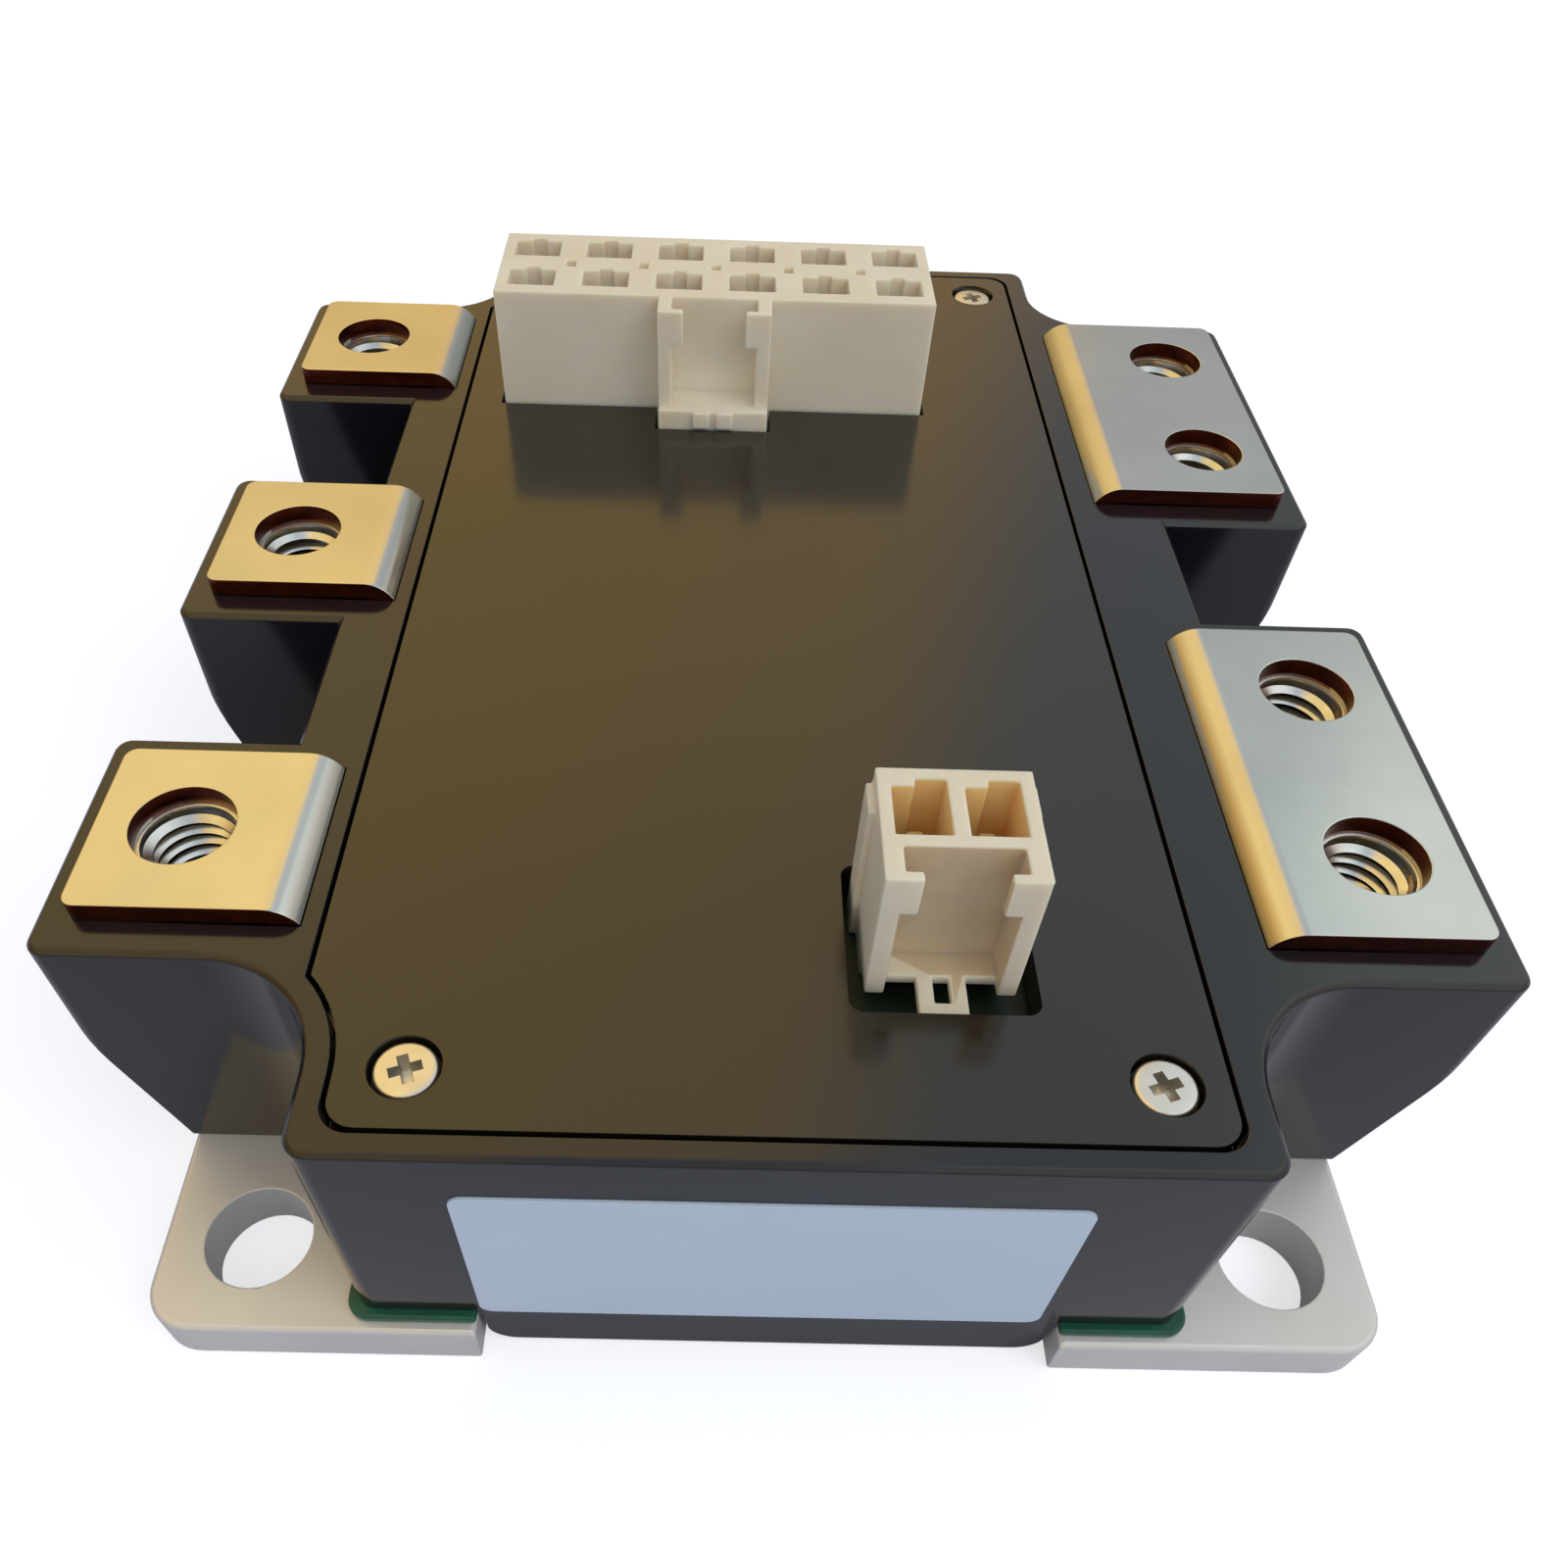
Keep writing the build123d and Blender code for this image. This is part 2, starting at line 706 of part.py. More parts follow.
def die_spots(y):
    """Middle of each chip of a phase: one row on the output copper and one on the positive."""
    middle = (track_left + track_right) / 2
    xs = [middle + (i - (dies_per_switch - 1) / 2) * die_pitch for i in range(dies_per_switch)]
    return [(x, low + die_inset + die_length / 2) for low, _ in track_spans(y)[1:] for x in xs]


def dies(y):
    """Transistor chips of a phase."""
    return Compound([block(x - die_width / 2, x + die_width / 2, row - die_length / 2, row + die_length / 2,
                           track_top, die_top) for x, row in die_spots(y)])


def wire_outline(start, end, z0, z1):
    """Edge-on outline of a wire that is bonded at both ends and arches between them."""
    w = wire_size
    s = side_of(end - start)
    top = max(z0, z1) + wire_rise
    crown = 3 * s * w
    outside = [(start - s * w, z0), (start + crown, top), (end - crown, top), (end + s * w, z1)]
    inside = [(end - s * w, z1), (end - crown - s * w, top - w), (start + crown + s * w, top - w), (start + s * w, z0)]
    return make_face(Polyline(outside + inside, close=True))


def bond_wires(y):
    """A wire from each chip to the copper in front of it."""
    spans = track_spans(y)
    wires = []
    for x, row in die_spots(y):
        landing = max(high for _, high in spans if high < row) - wire_landing
        outline = wire_outline(row - wire_landing, landing, die_top, track_top)
        wires.append(extrude(Plane.YZ.offset(x) * outline, wire_size / 2, both=True))
    return Compound(wires)


def lead_wires(terminal_y, y):
    """Wires from the terminals' feet to the copper areas of one phase."""
    negative, output, positive = track_spans(y)
    feet = [(-left_foot_end, terminal_y, output_plate_width, output),
            (right_foot_end, y - tab_offset, tab_width, negative),
            (right_foot_end, y + tab_offset, tab_width, positive)]
    wires = []
    for foot_x, foot_y, width, (low, high) in feet:
        middle = (max(foot_y - width / 2, low) + min(foot_y + width / 2, high)) / 2
        start = foot_x + side_of(foot_x) * lead_wire_inset
        end = (track_left if foot_x < 0 else track_right) - side_of(foot_x) * lead_wire_inset
        outline = wire_outline(start, end, bond_level, track_top)
        for i in range(lead_wires_per_foot):
            shift = (i - (lead_wires_per_foot - 1) / 2) * lead_wire_pitch
            wires.append(upright(outline, middle + shift, wire_size))
    return Compound(wires)


def lead_pin_spots():
    """Gate, source and thermistor pins that stand on the copper and reach the board."""
    spots = []
    for y in phase_ys:
        _, output, positive = track_spans(y)
        for i in (0, 1):
            spots.append((track_right - lead_pin_inset, output[0] + lead_pin_inset + i * lead_pin_pitch))
            spots.append((track_left + lead_pin_inset, positive[1] - lead_pin_inset - i * lead_pin_pitch))
    pads = thermistor_pads(phase_ys[1])
    return spots + [((x0 + x1) / 2, y0 + lead_pin) for x0, x1, y0, _ in pads]


def thermistor():
    """Temperature sensor chip that bridges its two pads."""
    first, second = thermistor_pads(phase_ys[1])
    middle, back = (first[1] + second[0]) / 2, first[3]
    half = thermistor_length / 2
    return block(middle - half, middle + half, back - thermistor_width, back,
                 track_top, track_top + thermistor_height)


def silicone_gel(covered):
    """Clear gel poured over the power stage, with the pieces it covers cut out of it."""
    gel = block(-cavity_left, cavity_right, -cavity_half, cavity_half, base_thick, gel_level)
    bosses = [drum(x, y, boss_r, foot_z, gel_level + 1) for x, y in screw_spots]
    return gel - (bond_ledges() + bosses + covered)


def power_stage():
    """Everything on the baseplate inside the case, by node name, with the gel last."""
    pieces = {}
    solder = []
    for name, terminal_y, y in zip(phase_names, terminal_ys, phase_ys):
        y0, y1 = y - tile_length / 2, y + tile_length / 2
        solder.append(block(tile_left + solder_inset, tile_right - solder_inset,
                            y0 + solder_inset, y1 - solder_inset, base_thick, tile_z))
        pieces["substrate_" + name] = block(tile_left, tile_right, y0, y1, tile_z, track_z)
        pieces["copper_tracks_" + name] = tracks(name, y)
        pieces["mosfet_chips_" + name] = dies(y)
        pieces["bond_wires_" + name] = bond_wires(y)
        pieces["lead_wires_" + name] = lead_wires(terminal_y, y)
    pieces["base_solder"] = Compound(solder)
    pieces["thermistor"] = thermistor()
    pieces["lead_pins"] = square_pins(lead_pin_spots(), lead_pin, track_top, board_top + lead_pin_rise)
    return pieces


def control_parts():
    """The control board, both headers and their pins, by node name."""
    tail = board_z - header_pin_tail
    return {
        "control_board": control_board(),
        "signal_header": signal_header(),
        "sensor_header": sensor_header(),
        "signal_pins": square_pins(signal_spots, header_pin, tail, signal_floor + header_pin_rise),
        "sensor_pins": square_pins(sensor_spots, header_pin, tail, sensor_floor + header_pin_rise),
    }


def main():
    """Every piece of the module, each to its own file."""
    pieces = terminals()
    stage = power_stage()
    covered = list(pieces.values()) + list(stage.values())
    pieces.update(stage)
    pieces["silicone_gel"] = silicone_gel(covered)
    pieces.update(control_parts())
    pieces.update({name: nut(x, y) for name, x, y in nut_spots()})
    pieces.update({"lid_screw_" + str(i + 1): lid_screw(x, y) for i, (x, y) in enumerate(screw_spots)})
    pieces.update({"baseplate": baseplate(), "base_seal": base_seal(), "case_frame": case_frame(),
                   "lid": lid(), "label": label()})
    os.makedirs("parts", exist_ok=True)
    for name, piece in pieces.items():
        export_step(piece, "parts/" + name + ".step")


main()
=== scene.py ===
"""Looks of a six-switch power module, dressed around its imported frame.

Every place is in the frame's own coordinates, in metres. Sizes are written in
millimetres and turned to metres where they are used.
"""

import json
import logging
import math
from collections.abc import Callable
from dataclasses import dataclass, field
from enum import Enum
from functools import partial

import bmesh
import bpy
from mathutils import Euler, Matrix, Vector
from mathutils.geometry import delaunay_2d_cdt

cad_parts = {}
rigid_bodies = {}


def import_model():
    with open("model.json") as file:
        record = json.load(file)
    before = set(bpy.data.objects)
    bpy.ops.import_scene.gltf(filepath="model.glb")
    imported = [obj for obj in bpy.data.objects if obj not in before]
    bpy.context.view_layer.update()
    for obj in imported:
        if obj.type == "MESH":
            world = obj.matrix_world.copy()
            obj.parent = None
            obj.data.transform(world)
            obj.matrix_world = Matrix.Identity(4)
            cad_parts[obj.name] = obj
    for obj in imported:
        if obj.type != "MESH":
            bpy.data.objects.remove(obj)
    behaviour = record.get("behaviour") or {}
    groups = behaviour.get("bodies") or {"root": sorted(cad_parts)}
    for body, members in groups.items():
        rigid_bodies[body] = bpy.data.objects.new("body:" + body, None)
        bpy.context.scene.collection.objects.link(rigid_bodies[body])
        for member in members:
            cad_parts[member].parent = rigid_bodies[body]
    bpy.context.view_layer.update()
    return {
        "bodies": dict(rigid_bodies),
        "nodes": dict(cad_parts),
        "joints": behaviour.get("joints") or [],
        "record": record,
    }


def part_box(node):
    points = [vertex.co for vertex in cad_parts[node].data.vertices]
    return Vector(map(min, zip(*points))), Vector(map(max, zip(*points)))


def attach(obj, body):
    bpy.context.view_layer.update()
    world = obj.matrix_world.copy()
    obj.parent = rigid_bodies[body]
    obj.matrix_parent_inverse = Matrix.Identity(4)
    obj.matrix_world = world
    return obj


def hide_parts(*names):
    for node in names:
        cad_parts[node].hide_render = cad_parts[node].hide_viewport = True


LOG = logging.getLogger("power_module")
MM = 0.001
ROOT = "root"
HEXAGON = 6
FOUR_CORNERS = 4

# How near two corners count as one, how far faces may lean and still be merged, and what is sharp.
MERGE_MM = 0.002
PLANAR_DEG = 0.3
SMOOTH_DEG = 32.0
# How much of a face may be covered twice before it is folded, and how upright a level face's normal is.
FOLD_MM2 = 0.02
LEVEL_SHARE = 0.9999
# The fill's mode that keeps triangles inside the outline, and how near two of its points are the same.
FILL_INSIDE = 1
FILL_SAME_MM = 1e-6
# How many finer noises lie over the tones', the gloss's and the grain's, and where a tone is pure.
TONE_DETAIL, GLOSS_DETAIL, GRAIN_DETAIL = 4.0, 3.0, 2.0
TONE_SPAN = (0.3, 0.7)

Colour = tuple[float, float, float, float]
Triple = tuple[float, float, float]


def linear(hex_colour: str) -> Colour:
    """Turns an sRGB hex colour to linear light.

    Args:
        hex_colour: Six hex digits, such as "5a4831".

    Returns:
        Red, green, blue and an alpha of 1.
    """
    values = [int(hex_colour[i:i + 2], 16) / 255 for i in (0, 2, 4)]
    red, green, blue = [v / 12.92 if v <= 0.04045 else ((v + 0.055) / 1.055) ** 2.4 for v in values]
    return red, green, blue, 1.0


def add_node(tree: bpy.types.NodeTree, kind: str, inputs: dict | None = None,
             links: dict | None = None, **settings: object) -> bpy.types.Node:
    """Adds one node with its settings, socket values and incoming links.

    Args:
        tree: The node tree to add to.
        kind: The node's type name.
        inputs: Socket name or number to value.
        links: Socket name or number to the output socket that feeds it.
        settings: The node's own properties.

    Returns:
        The new node.
    """
    node = tree.nodes.new(kind)
    for name, value in settings.items():
        setattr(node, name, value)
    for name, value in (inputs or {}).items():
        node.inputs[name].default_value = value
    for name, source in (links or {}).items():
        tree.links.new(source, node.inputs[name])
    return node


def clear_selection() -> None:
    """Leaves nothing selected, because an operator acts on all that is."""
    bpy.ops.object.select_all(action="DESELECT")


def activate(piece: bpy.types.Object) -> None:
    """Makes one object the only selected and the active one.

    Args:
        piece: The object to work on next.
    """
    clear_selection()
    piece.select_set(True)
    bpy.context.view_layer.objects.active = piece


def finish_with(piece: bpy.types.Object, kind: str, **settings: object) -> None:
    """Adds a modifier to a piece and applies it.

    Args:
        piece: The piece to shape.
        kind: The modifier's type name.
        settings: The modifier's own properties.
    """
    modifier = piece.modifiers.new(kind.title(), kind)
    for name, value in settings.items():
        setattr(modifier, name, value)
    activate(piece)
    bpy.ops.object.modifier_apply(modifier=modifier.name)


def select_faces(piece: bpy.types.Object, test: Callable) -> None:
    """Selects the faces of a piece that pass a test, for the next edit-mode operator.

    Args:
        piece: The piece, in object mode.
        test: A function from a face to True or False.
    """
    for polygon in piece.data.polygons:
        polygon.select = bool(test(polygon))
    for edge in piece.data.edges:
        edge.select = False
    for vertex in piece.data.vertices:
        vertex.select = False
    for polygon in piece.data.polygons:
        if polygon.select:
            for index in polygon.vertices:
                piece.data.vertices[index].select = True


def folded_faces(mesh: bpy.types.Mesh) -> list[int]:
    """Finds the faces whose own triangles cover more than the face does, as a folded outline gives.

    Args:
        mesh: The mesh to test.

    Returns:
        The faces' numbers.
    """
    mesh.calc_loop_triangles()
    covered = [0.0] * len(mesh.polygons)
    for triangle in mesh.loop_triangles:
        covered[triangle.polygon_index] += triangle.area
    return [face.index for face in mesh.polygons if len(face.vertices) > FOUR_CORNERS
            and covered[face.index] - face.area > FOLD_MM2 * MM * MM]


def turns_round(outline: list[Vector], point: Vector) -> int:
    """How many times an outline runs anticlockwise round a point.

    Args:
        outline: The outline's corners in order, in two dimensions.
        point: The point to test.

    Returns:
        One inside a plain outline, nothing outside it.
    """
    turns = 0
    for index, first in enumerate(outline):
        second = outline[(index + 1) % len(outline)]
        side = (second.x - first.x) * (point.y - first.y) - (point.x - first.x) * (second.y - first.y)
        if first.y <= point.y < second.y and side > 0:
            turns += 1
        elif second.y <= point.y < first.y and side < 0:
            turns -= 1
    return turns


def refill(shell: bmesh.types.BMesh, face: bmesh.types.BMFace) -> None:
    """Puts triangles that keep inside a face's outline in its place.

    Args:
        shell: The mesh under edit.
        face: The folded face.
    """
    turn = face.normal.to_track_quat("Z", "Y").to_matrix()
    flat = [turn.inverted() @ vertex.co for vertex in face.verts]
    level = sum(point.z for point in flat) / len(flat)
    outline = [point.to_2d() / MM for point in flat]
    places, _, fills, origins, _, _ = delaunay_2d_cdt(
        outline, [], [list(range(len(flat)))], FILL_INSIDE, FILL_SAME_MM, True)
    corners = [face.verts[origin[0]] if origin else
               shell.verts.new(turn @ Vector((place.x * MM, place.y * MM, level)))
               for place, origin in zip(places, origins)]
    for fill in fills:
        ring = [corners[number] for number in fill]
        middle = sum((places[number] for number in fill), Vector((0, 0))) / len(fill)
        if turns_round(outline, middle) < 1 or len(set(ring)) < 3 or shell.faces.get(ring):
            continue
        patch = shell.faces.new(ring, face)
        patch.normal_update()
        if patch.normal.dot(face.normal) < 0:
            patch.normal_flip()
    shell.faces.remove(face)


def refill_folded(mesh: bpy.types.Mesh) -> int:
    """Fills each folded face of a mesh again.

    Args:
        mesh: The mesh to mend.

    Returns:
        How many faces were filled again.
    """
    folded = folded_faces(mesh)
    if folded:
        shell = bmesh.new()
        shell.from_mesh(mesh)
        shell.faces.ensure_lookup_table()
        for face in [shell.faces[index] for index in folded]:
            refill(shell, face)
        shell.to_mesh(mesh)
        shell.free()
    return len(folded)


def shade_level_faces(mesh: bpy.types.Mesh) -> None:
    """Shades every level face as flat, also where a corner beside it pulls the shading askew.

    Args:
        mesh: The mesh, with its shading set already.
    """
    normals = [Vector(corner.vector) for corner in mesh.corner_normals]
    for face in mesh.polygons:
        if abs(face.normal.z) > LEVEL_SHARE:
            for index in face.loop_indices:
                normals[index] = face.normal.copy()
    mesh.normals_split_custom_set(normals)


@dataclass(frozen=True)
class Finish:
    """A finish: what the real material is and how its surface was made.

    Patches are slow changes between two tones, and between the least and the
    greatest roughness. The grain is the relief that the tool or the plating leaves,
    drawn coarser than the real one where that is too fine to show. Light that
    soaks into the material comes out within the glow's reach.
    """

    name: str
    tones: tuple[str, str]
    rough: tuple[float, float]
    patch_mm: float
    grain_mm: float
    relief_mm: float
    metallic: float = 0.0
    ior: float = 1.5
    stretch: Triple = (1.0, 1.0, 1.0)
    glow_mm: float = 0.0
    glow_colour: Triple = (1.0, 0.6, 0.3)
    alpha: float = 1.0

    def build(self) -> bpy.types.Material:
        """Builds the material's nodes.

        Returns:
            The material, ready to be given to pieces.
        """
        material = bpy.data.materials.new(self.name)
        material.use_nodes = True
        tree = material.node_tree
        tree.nodes.clear()
        place = add_node(tree, "ShaderNodeTexCoord").outputs["Object"]
        stretched = add_node(tree, "ShaderNodeMapping", {"Scale": self.stretch}, {"Vector": place})
        patches = add_node(tree, "ShaderNodeTexNoise",
                           {"Scale": 1 / (self.patch_mm * MM), "Detail": GLOSS_DETAIL},
                           {"Vector": stretched.outputs[0]})
        rough = add_node(tree, "ShaderNodeMapRange", {"To Min": self.rough[0], "To Max": self.rough[1]},
                         {"Value": patches.outputs["Fac"]})
        grain = add_node(tree, "ShaderNodeTexNoise",
                         {"Scale": 1 / (self.grain_mm * MM), "Detail": GRAIN_DETAIL},
                         {"Vector": stretched.outputs[0]})
        bump = add_node(tree, "ShaderNodeBump", {"Strength": 1.0, "Distance": self.relief_mm * MM},
                        {"Height": grain.outputs["Fac"]})
        shader = add_node(tree, "ShaderNodeBsdfPrincipled",
                          {"Metallic": self.metallic, "Alpha": self.alpha},
                          {"Base Color": self.colour_of(tree, place), "Roughness": rough.outputs[0],
                           "Normal": bump.outputs[0]})
        if self.metallic < 1.0:
            shader.inputs["IOR"].default_value = self.ior
        if self.glow_mm:
            shader.inputs["Subsurface Weight"].default_value = 1.0
            shader.inputs["Subsurface Radius"].default_value = self.glow_colour
            shader.inputs["Subsurface Scale"].default_value = self.glow_mm * MM
        add_node(tree, "ShaderNodeOutputMaterial", links={"Surface": shader.outputs[0]})
        return material

    def colour_of(self, tree: bpy.types.NodeTree,
                  place: bpy.types.NodeSocket) -> bpy.types.NodeSocket:
        """Mixes the two tones by slow patches.

        Args:
            tree: The material's node tree.
            place: The object coordinates.

        Returns:
            The socket that carries the base colour.
        """
        patches = add_node(tree, "ShaderNodeTexNoise",
                           {"Scale": 1 / (self.patch_mm * MM), "Detail": TONE_DETAIL}, {"Vector": place})
        share = add_node(tree, "ShaderNodeMapRange",
                         {"From Min": TONE_SPAN[0], "From Max": TONE_SPAN[1]},
                         {"Value": patches.outputs["Fac"]})
        first, second = (linear(tone) for tone in self.tones)
        mix = add_node(tree, "ShaderNodeMix", {"A": first, "B": second}, {"Factor": share.outputs[0]},
                       data_type="RGBA")
        return mix.outputs["Result"]


class Look(Enum):
    """Every finish of the module, by the piece that it is for."""

    # Glass-filled polyester, moulded in a polished tool: near-black, glossy, with a faint orange peel.
    CASE = Finish("moulded_black_polyester", ("14151a", "191a1f"), rough=(0.10, 0.17), patch_mm=18.0,
                  grain_mm=1.2, relief_mm=0.0006, ior=1.55)
    # The same plastic in the lid's tool, a shade warmer.
    LID = Finish("moulded_black_polyester_lid", ("1a1712", "1f1b15"), rough=(0.13, 0.19), patch_mm=24.0,
                 grain_mm=1.4, relief_mm=0.0006, ior=1.6)
    # Nickel plate on a rolled copper strip: bright and slightly satin, with fine rolling lines.
    TERMINAL = Finish("nickel_plated_strip", ("c8c9c4", "bebfbc"), rough=(0.12, 0.20), patch_mm=9.0,
                      grain_mm=0.5, relief_mm=0.0004, metallic=1.0, stretch=(1.0, 5.0, 1.0))
    # The strip's sheared edges and bores, where the plating is thin and the copper shows through.
    SHEARED = Finish("sheared_copper_edge", ("6c3428", "55291f"), rough=(0.24, 0.36), patch_mm=1.2,
                     grain_mm=0.25, relief_mm=0.002, metallic=1.0, stretch=(1.0, 1.0, 4.0))
    # Nickel plate on a ground copper plate: satin, light grey, and so dull that it scatters more than it
    # mirrors, which the lowered metallic gives.
    BASE = Finish("satin_nickel_baseplate", ("e2e1df", "d8d6d4"), rough=(0.36, 0.48), patch_mm=12.0,
                  grain_mm=0.4, relief_mm=0.0012, metallic=0.35, stretch=(4.0, 1.0, 1.0))
    # Natural nylon, moulded: ivory, with light that soaks in and comes out amber, and a painted amber
    # glow deep in the cavities as well.
    HEADER = Finish("natural_nylon", ("f0e8d6", "eadfc8"), rough=(0.38, 0.48), patch_mm=7.0,
                    grain_mm=0.6, relief_mm=0.001, glow_mm=0.8, glow_colour=(1.0, 0.78, 0.50))
    # The same nylon on the guide's inner wall, in a darker, warmer tone: painted shade of the channel
    # and painted warm light from the cavities.
    GUIDE = Finish("natural_nylon_guide_painted_shade", ("dccaac", "d1bf9f"), rough=(0.42, 0.52), patch_mm=3.0,
                   grain_mm=0.6, relief_mm=0.001, glow_mm=1.0, glow_colour=(1.0, 0.74, 0.42))
    # The same nylon deep in a cavity, in a bright amber tone: painted glow of the light that has soaked
    # through.
    CAVITY = Finish("natural_nylon_cavity_painted_glow", ("f6dca0", "eed092"), rough=(0.40, 0.50), patch_mm=3.0,
                    grain_mm=0.6, relief_mm=0.001, glow_mm=1.2, glow_colour=(1.0, 0.70, 0.35))
    # Bright zinc plate on a cold-headed screw.
    SCREW = Finish("zinc_plated_screw", ("d8d8d8", "cecdca"), rough=(0.30, 0.42), patch_mm=1.5,
                   grain_mm=0.3, relief_mm=0.001, metallic=1.0)
    # Bright zinc on a cut steel nut, whose thread turns catch the light.
    NUT = Finish("zinc_plated_nut", ("d2d2d0", "bdbdbb"), rough=(0.16, 0.28), patch_mm=2.0, grain_mm=0.3,
                 relief_mm=0.001, metallic=1.0)
    # Tinned brass contact pins.
    PIN = Finish("tinned_brass_pin", ("cbc3ad", "bdb394"), rough=(0.20, 0.32), patch_mm=1.0,
                 grain_mm=0.2, relief_mm=0.0005, metallic=1.0)
    # Silicone adhesive, squeezed out and cured: deep green and glossy.
    SEAL = Finish("green_silicone_adhesive", ("17604a", "124b3a"), rough=(0.22, 0.34), patch_mm=2.5,
                  grain_mm=0.8, relief_mm=0.01, ior=1.42)
    # Glass-epoxy laminate under green solder resist.
    BOARD = Finish("green_solder_resist", ("08251a", "061c14"), rough=(0.40, 0.50), patch_mm=3.0,
                   grain_mm=0.4, relief_mm=0.002)
    # Polyester label film: matt, pale blue-grey, and bare.
    LABEL = Finish("polyester_label_film", ("d0dfef", "cadaeb"), rough=(0.42, 0.50), patch_mm=14.0,
                   grain_mm=0.3, relief_mm=0.0004)
    # Clear silicone gel over the power stage.
    GEL = Finish("clear_silicone_gel", ("ccd2d2", "c4cbcb"), rough=(0.05, 0.12), patch_mm=8.0,
                 grain_mm=3.0, relief_mm=0.004, ior=1.41, alpha=0.4)
    # Fired alumina tile.
    CERAMIC = Finish("fired_alumina", ("dedcd4", "d4d1c8"), rough=(0.45, 0.60), patch_mm=5.0,
                     grain_mm=0.2, relief_mm=0.001)
    # Copper bonded to the ceramic, left bare.
    COPPER = Finish("bonded_copper", ("c98662", "b97552"), rough=(0.25, 0.40), patch_mm=4.0,
                    grain_mm=0.3, relief_mm=0.001, metallic=1.0)
    # Polished semiconductor under its passivation.
    CHIP = Finish("passivated_chip", ("3a3f4a", "2f333d"), rough=(0.12, 0.22), patch_mm=2.0,
                  grain_mm=0.5, relief_mm=0.0003)
    # Drawn aluminium wire.
    WIRE = Finish("drawn_aluminium_wire", ("d0d0cf", "c4c4c3"), rough=(0.25, 0.35), patch_mm=1.0,
                  grain_mm=0.2, relief_mm=0.0005, metallic=1.0)
    # Reflowed solder, dull.
    SOLDER = Finish("reflowed_solder", ("a3a3a0", "959592"), rough=(0.35, 0.50), patch_mm=3.0,
                    grain_mm=0.5, relief_mm=0.002, metallic=1.0)


class Wardrobe:
    """Builds each finish once and hands out its material."""

    def __init__(self) -> None:
        """Starts with no material built."""
        self.built: dict[Look, bpy.types.Material] = {}

    def material(self, look: Look) -> bpy.types.Material:
        """Gives a look's material, and builds it at its first use.

        Args:
            look: The look asked for.

        Returns:
            Its material, the same one each time.
        """
        if look not in self.built:
            self.built[look] = look.value.build()
        return self.built[look]

    def wear(self, piece: bpy.types.Object, look: Look) -> None:
        """Gives a new piece one material all over."""
        piece.data.materials.clear()
        piece.data.materials.append(self.material(look))

    def wear_also(self, piece: bpy.types.Object, look: Look, test: Callable) -> None:
        """Gives some faces of a piece a further material.

        Args:
            piece: The piece, which wears its main material already.
            look: The further look.
            test: A function from a face to True where it wears that look.
        """
        piece.data.materials.append(self.material(look))
        for polygon in piece.data.polygons:
            if test(polygon):
                polygon.material_index = len(piece.data.materials) - 1

    def wear_node(self, node: bpy.types.Object, look: Look) -> None:
        """Gives a CAD node that is kept as it is a better material in each of its slots.

        Args:
            node: The CAD node.
            look: Its look.
        """
        if not node.data.materials:
            node.data.materials.append(self.material(look))
        for slot in node.material_slots:
            slot.material = self.material(look)


